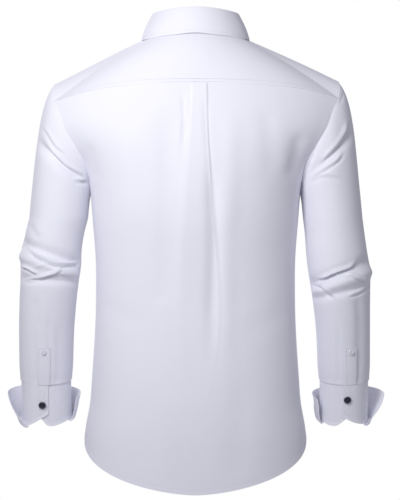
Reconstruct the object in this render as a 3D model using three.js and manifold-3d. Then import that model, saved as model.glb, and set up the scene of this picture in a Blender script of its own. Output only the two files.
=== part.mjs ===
// A white long sleeve dress shirt, filled out as if worn, with its cuffs turned back.
// Millimetres, +Z up. The front faces -Y, the wearer's left is +X, and z = 0 is the level
// where the collar meets the shoulders. Every cloth piece is a hollow wall with open ends.
import * as THREE from "three";
import { mergeVertices } from "three/addons/utils/BufferGeometryUtils.js";
import Module from "manifold-3d";

const wasm = await Module();
wasm.setup();

const V = (x, y, z) => new THREE.Vector3(x, y, z);

// Driving dimensions
const CLOTH = 1.2; // thickness of a panel's wall
const GAP = 0.3; // between neighbouring pieces
const NECK = { halfWidth: 74, halfDepth: 66, back: 14, side: 0, front: -40 };
const NECK_MIDDLE = -4; // the collar lies a little forward of the shoulders
const NECK_POWER = { back: 3, front: 1.4 };
const FOLD = { halfWidth: 70.8, halfDepth: 62.6, back: 46, side: 40.5, front: -10 };
const UNDERARM = -252; // level of the lowest point of the armholes
const YOKE_SEAM = { centre: -79, turn: 0.6, drop: 3.2, round: 2.3, forward: 8 };
const HEM = { side: -655, back: -736, front: -705, curve: 1.62 };
// How far the fronts pass the centre line, how deep the lower one lies, and to where
const LAP = { s: 0.0635, inset: 1.9, end: 0.12 };
const PLEAT = {
  s: 0.046, edge: 0.008, near: 0.3, rise: 3.2, shift: -6.5, widen: 17,
  from: 110, full: 200, widest: 460, end: 640,
};
const CUFF = {
  thickness: 1.6, lapRise: 2.3, lapFrom: 10, lapFull: 70, inset: 1.5, drop: GAP + 0.2, middle: 35,
};
const BUTTON = { radius: 5.5, height: 2.4, rim: 1.2, bevel: 0.6, sides: 10 };
const SMALL_BUTTON = { radius: 4, height: 2 };
const STUD = {
  head: 6.6, dome: 3.4, post: 1.4, back: 5, plate: 1.4, bevel: 0.5, slack: 0.4, rise: 0.3, drill: 20,
};
const STUD_HEAD = [[0.5, 0], [0, 0.8], [0.9, 2], [3, 2.9]]; // in from its radius, and height
const HANG = { rise: 5, out: 3, inner: 60, outer: 230, top: -90 }; // the right shoulder is higher
const SECTION = { across: 2.4, depth: 2.2 }; // powers of the body's rounded outline
const YOKE_SWELL = {
  back: V(0, 7, 6), side: V(0, 5, 3), shoulder: 4.2, power: 0.36, full: 0.2, fade: 0.5, end: 0.9,
};

// The body: half width at the side seams, and depths to the back and the front
const TORSO = [
  { z: -38, half: 190, back: 88, front: 70 },
  { z: -70, half: 186, back: 98, front: 88 },
  { z: -120, half: 180, back: 110, front: 104 },
  { z: -180, half: 174, back: 117, front: 118 },
  { z: -252, half: 171, back: 118, front: 125 },
  { z: -293, half: 168, back: 115, front: 123 },
  { z: -359, half: 163, back: 105, front: 117 },
  { z: -425, half: 162.5, back: 101, front: 113 },
  { z: -478, half: 164, back: 104, front: 112 },
  { z: -557, half: 169, back: 112, front: 112 },
  { z: -596, half: 172, back: 116, front: 112 },
  { z: -649, half: 180.5, back: 118, front: 112 },
  { z: -745, half: 182, back: 117, front: 110 },
];

// The left armhole, from the shoulder point round by the back: station 2 and 14 are the
// ends of the yoke's seams, and station 8 is the underarm
const ARMHOLE = [
  [229, 0, -73], [232, 24, -83], [228, 43, -104], [220, 53, -121],
  [210, 60, -150], [194, 58, -177], [179, 46, -203], [172.5, 25, -232],
  [171, 0, -252], [173, -27, -236], [180, -48, -208], [193, -60, -178],
  [207, -62, -146], [219, -55, -117], [226, -42, -98], [230.5, -22, -82],
];
const STATIONS = { backSeam: 2, underarm: 8, frontSeam: 14, all: 16 };

// The sleeves below the underarm: x and y of the middle, half sizes, and forward tilt
const SLEEVES = {
  left: [
    { z: -293, x: 225.7, y: -2, rx: 47.2, ry: 59, tilt: 0 },
    { z: -319, x: 232.2, y: -1, rx: 47.2, ry: 57, tilt: 1 },
    { z: -346, x: 237.5, y: 0, rx: 48.5, ry: 56, tilt: 4 },
    { z: -372, x: 238.5, y: 0, rx: 48.5, ry: 55, tilt: 8 },
    { z: -398, x: 240.7, y: -3, rx: 47, ry: 53, tilt: 11 },
    { z: -425, x: 243.5, y: -8, rx: 46, ry: 51, tilt: 12 },
    { z: -478, x: 247, y: -19, rx: 44.5, ry: 47, tilt: 12 },
    { z: -560, x: 249, y: -36, rx: 43, ry: 42, tilt: 12 },
  ],
  right: [
    { z: -293, x: 226.5, y: -2, rx: 47.8, ry: 59, tilt: 0 },
    { z: -319, x: 229.7, y: -1, rx: 47.9, ry: 57, tilt: 1 },
    { z: -346, x: 232.5, y: 0, rx: 49, ry: 56, tilt: 4 },
    { z: -372, x: 236, y: 0, rx: 50, ry: 55, tilt: 8 },
    { z: -398, x: 239, y: -3, rx: 49, ry: 53, tilt: 11 },
    { z: -425, x: 241, y: -8, rx: 46.5, ry: 51, tilt: 12 },
    { z: -478, x: 244.7, y: -19, rx: 43.6, ry: 47, tilt: 12 },
    { z: -560, x: 247.6, y: -36, rx: 42, ry: 42, tilt: 12 },
  ],
};

// The largest folds of the sleeves, round the elbow: level at the outer and the inner side,
// how deep (a ridge is negative), half height, and the part of the sleeve that it takes
const FOLDS = {
  left: [
    { outer: -335, inner: -368, depth: 5.5, half: 9, from: -20, to: 175 },
    { outer: -356, inner: -388, depth: -4, half: 8, from: -10, to: 180 },
    { outer: -392, inner: -396, depth: 4, half: 7, from: 10, to: 190 },
    { outer: -168, inner: -238, depth: 5, half: 11, from: 20, to: 170 },
  ],
  right: [
    { outer: -362, inner: -402, depth: 5.5, half: 9, from: 0, to: 185 },
    { outer: -382, inner: -418, depth: -4, half: 8, from: -15, to: 180 },
    { outer: -404, inner: -424, depth: 4, half: 7, from: -20, to: 180 },
    { outer: -152, inner: -232, depth: 5, half: 11, from: 20, to: 170 },
  ],
};

// The cuffs' lower edge, as a depth below the sleeve's end, by the angle round the wrist:
// 0 is the outer side, 90 the back and 180 the inner side; the ends lap past the back
const CUFF_EDGE = {
  left: [
    { angle: -286, depth: 54 }, { angle: -275, depth: 61 }, { angle: -265, depth: 69.5 },
    { angle: -250, depth: 71 }, { angle: -228, depth: 68 }, { angle: -190, depth: 64 },
    { angle: -90, depth: 69 }, { angle: 0, depth: 68 }, { angle: 30, depth: 70.5 },
    { angle: 49, depth: 71.5 }, { angle: 64, depth: 66.5 }, { angle: 82, depth: 57.5 },
    { angle: 98, depth: 49 },
  ],
  right: [
    { angle: -284, depth: 52 }, { angle: -272, depth: 58 }, { angle: -260, depth: 66 },
    { angle: -248, depth: 71 }, { angle: -230, depth: 71.5 }, { angle: -205, depth: 67 },
    { angle: -180, depth: 65 }, { angle: -90, depth: 69 }, { angle: 0, depth: 67 },
    { angle: 25, depth: 70.5 }, { angle: 48, depth: 69.5 }, { angle: 72, depth: 64 },
    { angle: 96, depth: 54 },
  ],
};

// The turned-back layer's profile, from the roll at the cuff's lower edge up to its free edge
const TURNBACK = [
  { out: -0.7, up: -1.4 }, { out: 1.7, up: -3.1 }, { out: 5.4, up: -2.4 },
  { out: 8.4, up: 8 }, { out: 13, up: 22 }, { out: 16.6, up: 37 }, { out: 19.3, up: 50 },
];

// By side: the share of that height at the outer and the inner side, how much further the layer
// stands off at the outer side, and the angles where it ends, at the roll and at the free edge
const TURN = {
  left: { outer: 0.9, inner: 0.79, aside: 3.6, inside: -205, roll: 50, free: 18 },
  right: { outer: 0.82, inner: 0.78, aside: 7.4, inside: -212, roll: 38, free: 18 },
};

// The height over which the layer's ends draw in, and its sides stand off
const TURN_RISE = { ends: 30, aside: 40 };

// The sleeve's cap: how far it leaves the shoulder and comes in above the first ring
const CAP = { out: 24, drop: 22, under: 12, back: 90, low: 12, across: 6, clear: 0.8, lean: -0.09 };
const FOLD_REACH = { from: 0.08, full: 0.5, fade: 1.8, end: 2 }; // along the sleeve, as t

// The collar: the stand's ends lap at the front
const STAND = {
  from: -172, to: 190, inset: 1.6, underlap: 2.3, lapFrom: 148, lapFull: 166, lift: 1, wall: 1.5,
};

// The fall's free edge lies on the yoke, and drops to the points at the front
const FALL = {
  halfWidth: 89, halfDepth: 74, middle: -2, end: 176, swell: 1.8, start: -0.5, rows: 5,
  reach: 0.88, reachFrom: 0.5, forward: 24, forwardFrom: 0.35, forwardFull: 0.8,
};
const FALL_ROLL = [{ out: -0.4, up: 1.4 }, { out: 1.6, up: 1.9 }, { out: 3.1, up: -0.6 }]; // over the fold
const FALL_EDGE = [
  { angle: 0, z: 4.7 }, { angle: 6, z: 4.4 }, { angle: 12, z: 3.5 }, { angle: 23, z: 2 },
  { angle: 35, z: 1.2 },
  { angle: 47, z: 0 }, { angle: 59, z: -1 }, { angle: 70, z: -1.6 }, { angle: 82, z: -0.8 },
  { angle: 94, z: -3.6 }, { angle: 106, z: -14 }, { angle: 117, z: -30 }, { angle: 129, z: -47 },
  { angle: 141, z: -61 }, { angle: 153, z: -71 }, { angle: 164, z: -78 }, { angle: 176, z: -81 },
];

const BUTTON_LEVELS = [-0.83, -0.42, 0, 0.19, 0.38, 0.57, 0.76]; // down the placket, as v

// The strips over the sleeves' slits: angles round the arm, and levels as t
const STRIP = {
  left: { from: 75, to: 103 }, right: { from: 66, to: 90 }, top: 1.76, bottom: 1.998, button: 1.79, wall: 1,
};
// The cufflinks: angle round the wrist, and depth below the sleeve
const LINK = { left: { angle: 85.5, depth: 34 }, right: { angle: 86, depth: 25 } };

const NECK_JUNCTION = 118; // degrees round the neckline where the front yoke seams start
const FRONT_CORNER = 0.33; // the share of a front's upper edge that follows the neckline
const INSET = { s: 0.0007, seam: 0.0016, yoke: 0.002 }; // half a gap, as a share of a panel

const rad = THREE.MathUtils.degToRad;
const mix = THREE.MathUtils.lerp;
const ease = THREE.MathUtils.smoothstep;
const mirrored = (p) => V(-p.x, p.y, p.z);
const between = (a, b, t) => a.clone().lerp(b, t);
const steps = (n, from = 0, to = 1) => Array.from({ length: n + 1 }, (_, i) => mix(from, to, i / n));

// A smooth value of one column of a table, whose rows are sorted by another column
function read(table, column, by, value) {
  const rising = table[0][by] < table.at(-1)[by];
  const last = table.length - 1;
  let i = 0;
  while (i < last - 1 && (rising ? value > table[i + 1][by] : value < table[i + 1][by])) i += 1;
  const slope = (k) => {
    const a = table[Math.max(k - 1, 0)];
    const b = table[Math.min(k + 1, last)];
    return (b[column] - a[column]) / (b[by] - a[by]);
  };
  const [a, b] = [table[i], table[i + 1]];
  const span = b[by] - a[by];
  const t = THREE.MathUtils.clamp((value - a[by]) / span, 0, 1);
  const bend = (t - 1) * t * span;
  return mix(a[column], b[column], t * t * (3 - 2 * t)) + bend * ((t - 1) * slope(i) + t * slope(i + 1));
}

// How the whole shirt hangs: the right shoulder a little higher, fading out at the underarm
function hang(p) {
  const lift = ease(-p.x, HANG.inner, HANG.outer) * ease(p.z, UNDERARM, HANG.top);
  return V(p.x - HANG.out * lift, p.y, p.z + HANG.rise * lift);
}

// A point of the body at level z: s runs from 0 at the centre line to 1 at the side seam
function body(z, s, face) {
  const g = Math.sin((Math.abs(s) * Math.PI) / 2);
  const f = (1 - g ** SECTION.across) ** (1 / SECTION.depth);
  const depth = read(TORSO, face, "z", z) * (face === "back" ? 1 : -1);
  return V(read(TORSO, "half", "z", z) * g * Math.sign(s), depth * f, z);
}

const armholeCurve = new THREE.CatmullRomCurve3(ARMHOLE.map((p) => V(...p)), true, "centripetal");
const armhole = (station) => armholeCurve.getPoint((((station / STATIONS.all) % 1) + 1) % 1);

// A ring round the neck, 0 degrees at the back and 180 at the front
function neckRing(ring, degrees) {
  const c = Math.cos(rad(degrees));
  const end = c > 0 ? ring.back : ring.front;
  const z = mix(ring.side, end, Math.abs(c) ** (c > 0 ? NECK_POWER.back : NECK_POWER.front));
  return V(ring.halfWidth * Math.sin(rad(degrees)), NECK_MIDDLE + ring.halfDepth * c, z);
}

const frontCentre = (z) => V(0, -read(TORSO, "front", "z", z), z);

function backSeam(s) {
  const end = armhole(STATIONS.backSeam);
  const z = mix(YOKE_SEAM.centre, end.z, s ** YOKE_SEAM.drop);
  return V(end.x * s, mix(end.y, read(TORSO, "back", "z", YOKE_SEAM.centre), 1 - s ** YOKE_SEAM.round), z);
}

function frontSeam(t) {
  const straight = between(neckRing(NECK, NECK_JUNCTION), armhole(STATIONS.frontSeam), t);
  return straight.add(V(0, -YOKE_SEAM.forward * Math.sin(Math.PI * t), 0));
}

// A patch between two curves, pulled at its two ends onto two more
function patch(s, v, top, bottom, first, second) {
  const chord = (k) => between(top(k), bottom(k), v);
  const w = s * s;
  const p = chord(s);
  p.addScaledVector(first(v).sub(chord(0)), 1 - w);
  return p.addScaledVector(second(v).sub(chord(1)), w);
}

// The back panel: v runs from the yoke seam at -1 by the underarm at 0 to the hem at 1
function backPoint(s, v) {
  const a = Math.abs(s);
  let p;
  if (v < 0) {
    const centre = (t) => {
      const z = mix(YOKE_SEAM.centre, UNDERARM, t);
      return V(0, read(TORSO, "back", "z", z), z);
    };
    const edge = (t) => armhole(mix(STATIONS.backSeam, STATIONS.underarm, t));
    p = patch(a, v + 1, backSeam, (k) => body(UNDERARM, k, "back"), centre, edge);
  } else {
    const [centre, side] = [mix(UNDERARM, HEM.back, v), mix(UNDERARM, HEM.side, v)];
    p = body(mix(centre, side, a ** HEM.curve), a, "back");
  }
  const fading = 1 - ease(-p.z, PLEAT.widest, PLEAT.end);
  const near = 1 - ease(a, PLEAT.s, PLEAT.near);
  p.x += PLEAT.widen * ease(-p.z, PLEAT.from, PLEAT.widest) * fading * ease(a, 0, PLEAT.s) * near;
  if (s < 0) p.x = -p.x;
  p.x += PLEAT.shift * near * fading;
  const raised = 1 - ease(a, PLEAT.s, PLEAT.s + PLEAT.edge);
  p.y += PLEAT.rise * raised * (1 - ease(-p.z, PLEAT.full, PLEAT.end));
  return p;
}

// A front panel, over the same v
function frontPoint(s, v) {
  const a = Math.abs(s);
  const top = (k) => (k < FRONT_CORNER
    ? neckRing(NECK, mix(180, NECK_JUNCTION, k / FRONT_CORNER))
    : frontSeam((k - FRONT_CORNER) / (1 - FRONT_CORNER)));
  let p;
  if (v < 0) {
    const centre = (t) => frontCentre(mix(NECK.front, UNDERARM, t));
    const edge = (t) => armhole(mix(STATIONS.frontSeam, STATIONS.underarm, t));
    p = patch(a, v + 1, top, (k) => body(UNDERARM, k, "front"), centre, edge);
  } else {
    const [centre, side] = [mix(UNDERARM, HEM.front, v), mix(UNDERARM, HEM.side, v)];
    p = body(mix(centre, side, a ** HEM.curve), a, "front");
  }
  return s < 0 ? mirrored(p) : p;
}

// The yoke: c runs from the left front seam at -1 by the centre back at 0 to the right
// front seam at 1, and r from the neckline to the outer edge
function yokePoint(c, r) {
  const k = 1 - Math.abs(c);
  const inner = (q) => neckRing(NECK, NECK_JUNCTION * (1 - q));
  const outer = (q) => {
    const back = 1 - q;
    if (back <= YOKE_SEAM.turn) return backSeam(back / YOKE_SEAM.turn);
    const past = (back - YOKE_SEAM.turn) / (1 - YOKE_SEAM.turn);
    return armhole(mix(STATIONS.backSeam, STATIONS.frontSeam - STATIONS.all, past));
  };
  const centre = (t) => between(inner(1), outer(1), t)
    .addScaledVector(YOKE_SWELL.back, Math.sin(Math.PI * t));
  const p = patch(k, r, inner, outer, frontSeam, centre);
  p.addScaledVector(YOKE_SWELL.side, Math.sin(Math.PI * r) * Math.sin(Math.PI * k) ** 2);
  const shoulder = ease(k, 0, YOKE_SWELL.full) * (1 - ease(k, YOKE_SWELL.fade, YOKE_SWELL.end));
  p.z += YOKE_SWELL.shoulder * Math.sin(Math.PI * r ** YOKE_SWELL.power) * shoulder;
  return c > 0 ? mirrored(p) : p;
}

const ringValue = (side, column, z) => read(SLEEVES[side], column, "z", z);

// A point of a sleeve's ring at level z, angle in degrees: 0 outer side, 90 back, 180 inner
function sleeveRing(side, degrees, z, grow = 0) {
  const [c, s] = [Math.cos(rad(degrees)), Math.sin(rad(degrees))];
  const tilt = rad(ringValue(side, "tilt", z));
  const depth = (ringValue(side, "ry", z) + grow) * s;
  const x = ringValue(side, "x", z) + (ringValue(side, "rx", z) + grow) * c;
  return V(x, ringValue(side, "y", z) + depth * Math.cos(tilt), z - depth * Math.sin(tilt));
}

// How far a sleeve's folds sink its wall at a point
function foldDepth(side, degrees, p) {
  return FOLDS[side].reduce((sum, fold) => {
    const round = (1 - Math.cos(rad(degrees))) / 2;
    const level = mix(fold.outer, fold.inner, round);
    const reach = ease(degrees, fold.from, fold.from + 30) * (1 - ease(degrees, fold.to - 30, fold.to));
    return sum + fold.depth * reach * Math.exp(-(((p.z - level) / fold.half) ** 2));
  }, 0);
}

// A sleeve: t from 0 at the armhole to 1 at the first ring, and then levels to the wrist
function sleevePoint(side, degrees, t) {
  const biceps = SLEEVES[side][0].z;
  let p;
  if (t < 1) {
    const high = (1 + Math.cos(rad(degrees))) / 2;
    const start = armhole((degrees / 360) * STATIONS.all);
    start.x += mix(2 * CLOTH + GAP + CAP.clear, CLOTH + GAP, high ** 0.5);
    const stop = sleeveRing(side, degrees, biceps);
    const across = Math.sin(rad(degrees));
    const fallen = -mix(CAP.under, CAP.drop, high);
    const leave = V(mix(CAP.under / 4, CAP.out, high), CAP.across * across, fallen).add(start);
    const arrive = V(CAP.lean, 0, 1).multiplyScalar(mix(CAP.low, CAP.back, high)).add(stop);
    p = new THREE.CubicBezierCurve3(start, leave, arrive, stop).getPoint(t);
  } else {
    p = sleeveRing(side, degrees, mix(biceps, SLEEVES[side].at(-1).z, t - 1));
  }
  const centre = V(ringValue(side, "x", Math.min(p.z, biceps)), ringValue(side, "y", p.z), p.z);
  const inward = centre.sub(p).setZ(0).normalize();
  const reach = ease(t, FOLD_REACH.from, FOLD_REACH.full) * (1 - ease(t, FOLD_REACH.fade, FOLD_REACH.end));
  p.addScaledVector(inward, foldDepth(side, degrees, p) * reach);
  return side === "right" ? mirrored(p) : p;
}

// The wrist's own frame: a point at an angle round it, a depth below the sleeve, and grown
function wrist(side, degrees, depth, grow = 0) {
  const end = SLEEVES[side].at(-1);
  const tilt = rad(end.tilt);
  const down = V(0, -Math.sin(tilt), -Math.cos(tilt)).multiplyScalar(depth);
  const p = sleeveRing(side, degrees, end.z, grow).add(down);
  return side === "right" ? mirrored(p) : p;
}

// A closed wall from a grid of points: its inner face is moved out by start, its outer
// face by start plus the thickness, along the grid's own normals
function wall(grid, { start = 0, thickness = CLOTH, closed = false, outside, warp = (p) => p }) {
  const points = grid.map((row) => row.map(warp));
  const [rows, cols] = [points.length, points[0].length];
  const pick = (r, c) => {
    const column = closed ? (c + cols) % cols : THREE.MathUtils.clamp(c, 0, cols - 1);
    return points[THREE.MathUtils.clamp(r, 0, rows - 1)][column];
  };
  const normal = (r, c) => {
    const along = pick(r, c + 1).clone().sub(pick(r, c - 1));
    return along.cross(pick(r + 1, c).clone().sub(pick(r - 1, c))).normalize();
  };
  const [midRow, midCol] = [rows >> 1, cols >> 1];
  const away = pick(midRow, midCol).clone().sub(outside);
  const sign = Math.sign(normal(midRow, midCol).dot(away));
  const faces = [start, start + thickness].map((offset) => points.map((row, r) => row.map(
    (p, c) => p.clone().addScaledVector(normal(r, c), sign * offset),
  )));
  const vertices = faces.flat(2).flatMap((p) => [p.x, p.y, p.z]);
  const id = (face, r, c) => face * rows * cols + r * cols + (c % cols);
  const index = [];
  const quad = (a, b, c, d) => index.push(a, b, c, a, c, d);
  const last = closed ? cols : cols - 1;
  for (let r = 0; r < rows - 1; r += 1) {
    for (let c = 0; c < last; c += 1) {
      quad(id(0, r, c), id(0, r + 1, c), id(0, r + 1, c + 1), id(0, r, c + 1));
      quad(id(1, r, c), id(1, r, c + 1), id(1, r + 1, c + 1), id(1, r + 1, c));
    }
  }
  for (let c = 0; c < last; c += 1) {
    quad(id(0, 0, c), id(0, 0, c + 1), id(1, 0, c + 1), id(1, 0, c));
    quad(id(0, rows - 1, c), id(1, rows - 1, c), id(1, rows - 1, c + 1), id(0, rows - 1, c + 1));
  }
  for (let r = 0; !closed && r < rows - 1; r += 1) {
    quad(id(0, r, 0), id(1, r, 0), id(1, r + 1, 0), id(0, r + 1, 0));
    quad(id(0, r, cols - 1), id(0, r + 1, cols - 1), id(1, r + 1, cols - 1), id(1, r, cols - 1));
  }
  const geometry = new THREE.BufferGeometry();
  geometry.setAttribute("position", new THREE.Float32BufferAttribute(vertices, 3));
  geometry.setIndex(index);
  return facingOut(geometry);
}

// Turns a closed mesh's faces out where they point in
function facingOut(geometry) {
  const position = geometry.getAttribute("position");
  const index = geometry.getIndex().array;
  const corner = (k) => V().fromBufferAttribute(position, index[k]);
  let volume = 0;
  for (let k = 0; k < index.length; k += 3) volume += corner(k).dot(corner(k + 1).cross(corner(k + 2)));
  for (let k = 0; volume < 0 && k < index.length; k += 3) {
    [index[k], index[k + 1]] = [index[k + 1], index[k]];
  }
  return geometry;
}

// Cuts one closed mesh by another
function cut(geometry, tool) {
  const solid = (source) => {
    const bare = source.clone();
    bare.deleteAttribute("normal");
    bare.deleteAttribute("uv");
    const merged = mergeVertices(bare, 1e-4);
    const vertProperties = new Float32Array(merged.getAttribute("position").array);
    return new wasm.Manifold(new wasm.Mesh({
      numProp: 3, vertProperties, triVerts: new Uint32Array(merged.getIndex().array),
    }));
  };
  const mesh = solid(geometry).subtract(solid(tool)).getMesh();
  const result = new THREE.BufferGeometry();
  result.setAttribute("position", new THREE.BufferAttribute(new Float32Array(mesh.vertProperties), 3));
  result.setIndex(new THREE.BufferAttribute(new Uint32Array(mesh.triVerts), 1));
  return result;
}

const shirt = new THREE.Group();
const cotton = () => new THREE.MeshStandardMaterial({ color: "#f3f3fb", roughness: 0.75, metalness: 0 });
const pearl = () => new THREE.MeshStandardMaterial({ color: "#e9e9ee", roughness: 0.3, metalness: 0 });
const enamel = () => new THREE.MeshStandardMaterial({ color: "#161b2c", roughness: 0.15, metalness: 0.4 });

function add(name, geometry, material, parent = shirt) {
  const mesh = new THREE.Mesh(geometry, material);
  mesh.name = name;
  parent.add(mesh);
  return mesh;
}

const grid = (rows, columns, point) => rows.map((r) => columns.map((c) => point(c, r)));
const bodyCentre = V(0, 0, -400);
const worn = { outside: bodyCentre, warp: hang };

// Body panels
const upperRows = steps(6, -1 + INSET.seam, 0).slice(0, -1);
const lowerRows = steps(12, 0, 1);
const half = [
  0, PLEAT.s / 2, PLEAT.s, PLEAT.s + PLEAT.edge, 0.1, 0.18, 0.3, 0.42, 0.54, 0.66, 0.78, 0.9, 1 - INSET.s,
];
const backColumns = [...half.slice(1).reverse().map((s) => -s), ...half];
add("back", wall(grid([...upperRows, ...lowerRows], backColumns, backPoint), worn), cotton());

const yokeHalf = [...steps(8, 0, YOKE_SEAM.turn), ...steps(5, YOKE_SEAM.turn, 1 - INSET.yoke / 2).slice(1)];
const yokeColumns = [...yokeHalf.slice(1).reverse().map((c) => -c), ...yokeHalf];
add("yoke", wall(grid(steps(5, INSET.yoke, 1 - INSET.yoke), yokeColumns, yokePoint), worn), cotton());

const frontHalf = [LAP.end, 0.2, 0.26, FRONT_CORNER, 0.42, 0.54, 0.66, 0.78, 0.9, 1 - INSET.s];
const frontRows = [...upperRows, ...lowerRows];
const frontLeft = grid(frontRows, [-LAP.s, 0, LAP.s, ...frontHalf], frontPoint);
add("front_left", wall(frontLeft, worn), cotton());
const underlap = (s, v) => {
  const p = frontPoint(s, v);
  p.y += LAP.inset * (1 - ease(-s, LAP.s, LAP.end));
  return p;
};
const rightColumns = [...frontHalf.map((s) => -s).reverse(), -0.09, 0, LAP.s];
add("front_right", wall(grid(frontRows, rightColumns, underlap), worn), cotton());
const onPanel = { ...worn, start: CLOTH + GAP };
const placketGrid = grid(frontRows, [-LAP.s, -LAP.s / 2, 0, LAP.s / 2, LAP.s], frontPoint);
add("front_placket", wall(placketGrid, onPanel), cotton());

// The collar: the stand rises from the neckline to the fold, and the fall turns down outside it
const collarTop = (degrees) => neckRing({
  ...FOLD, halfWidth: FOLD.halfWidth - STAND.inset, halfDepth: FOLD.halfDepth - STAND.inset,
}, degrees);
function standPoint(degrees, t) {
  const inset = STAND.inset + STAND.underlap * ease(-degrees, STAND.lapFrom, STAND.lapFull);
  const shrunk = (ring) => neckRing({
    ...ring, halfWidth: ring.halfWidth - inset, halfDepth: ring.halfDepth - inset,
  }, degrees);
  return between(shrunk(NECK).add(V(0, 0, STAND.lift)), shrunk(FOLD), t);
}
const standGrid = grid(steps(3), steps(30, STAND.from, STAND.to), standPoint);
const neckCentre = V(0, NECK_MIDDLE, 20);
const collarWall = { outside: neckCentre, thickness: STAND.wall, warp: hang };
add("collar_stand", wall(standGrid, { ...collarWall, start: -STAND.wall / 2 }), cotton());

// A point of the fall's free edge
function fallEdge(degrees) {
  const a = Math.abs(degrees) / FALL.end;
  const turned = degrees * mix(1, FALL.reach, ease(a, FALL.reachFrom, 1));
  const c = Math.cos(rad(turned));
  const y = FALL.middle + FALL.halfDepth * c - FALL.forward * ease(a, FALL.forwardFrom, FALL.forwardFull);
  return V(FALL.halfWidth * Math.sin(rad(turned)), y, read(FALL_EDGE, "z", "angle", Math.abs(degrees)));
}
const fallGrid = grid(steps(FALL.rows, 0, FALL.rows), steps(30, -FALL.end, FALL.end), (degrees, row) => {
  const top = collarTop(degrees);
  const edge = fallEdge(degrees);
  const out = edge.clone().sub(top).setZ(0).normalize();
  const last = FALL_ROLL.length - 1;
  const roll = FALL_ROLL[Math.min(row, last)];
  const start = top.addScaledVector(out, roll.out).setZ(top.z + roll.up);
  const t = Math.max(row - last, 0) / (FALL.rows - last);
  return between(start, edge, t).addScaledVector(out, FALL.swell * Math.sin(Math.PI * t));
});
const fallWall = { ...collarWall, start: FALL.start, outside: neckCentre.clone().setZ(-30) };
add("collar_fall", wall(fallGrid, fallWall), cotton());

// A button turned on its edge: a low disc with a raised rim
function buttonGeometry({ radius, height }) {
  const dish = height - BUTTON.bevel;
  const profile = [
    [0, 0], [radius - BUTTON.bevel, 0], [radius, dish],
    [radius - BUTTON.bevel, height], [radius - BUTTON.rim, dish], [0, dish],
  ];
  return new THREE.LatheGeometry(profile.map(([x, y]) => new THREE.Vector2(x, y)), BUTTON.sides);
}

// Seats a piece, whose axis is its own +Y, on a point of a panel, facing along a direction
function seat(mesh, point, facing, lift) {
  mesh.quaternion.setFromUnitVectors(V(0, 1, 0), facing.clone().normalize());
  mesh.position.copy(point).addScaledVector(facing.clone().normalize(), lift);
}

// The direction that a surface faces, from two steps on it
function facing(point, u, v, step, from) {
  const p = point(u, v);
  const a = point(u + step, v).sub(p);
  const b = point(u, v + step).sub(p);
  const n = a.cross(b).normalize();
  return n.dot(p.clone().sub(from)) < 0 ? n.negate() : n;
}

const placketLift = 2 * CLOTH + 2 * GAP;
BUTTON_LEVELS.forEach((v, i) => {
  const button = add(`front_button_${i + 1}`, buttonGeometry(BUTTON), pearl());
  seat(button, hang(frontPoint(0, v)), facing(frontPoint, 0.01, v, 0.02, bodyCentre), placketLift);
});
const collarButton = add("collar_button", buttonGeometry(BUTTON), pearl());
const collarFacing = facing(standPoint, 180, 0.5, 0.1, neckCentre);
seat(collarButton, standPoint(180, 0.5), collarFacing, STAND.wall / 2 + 1.5 * GAP);

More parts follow.
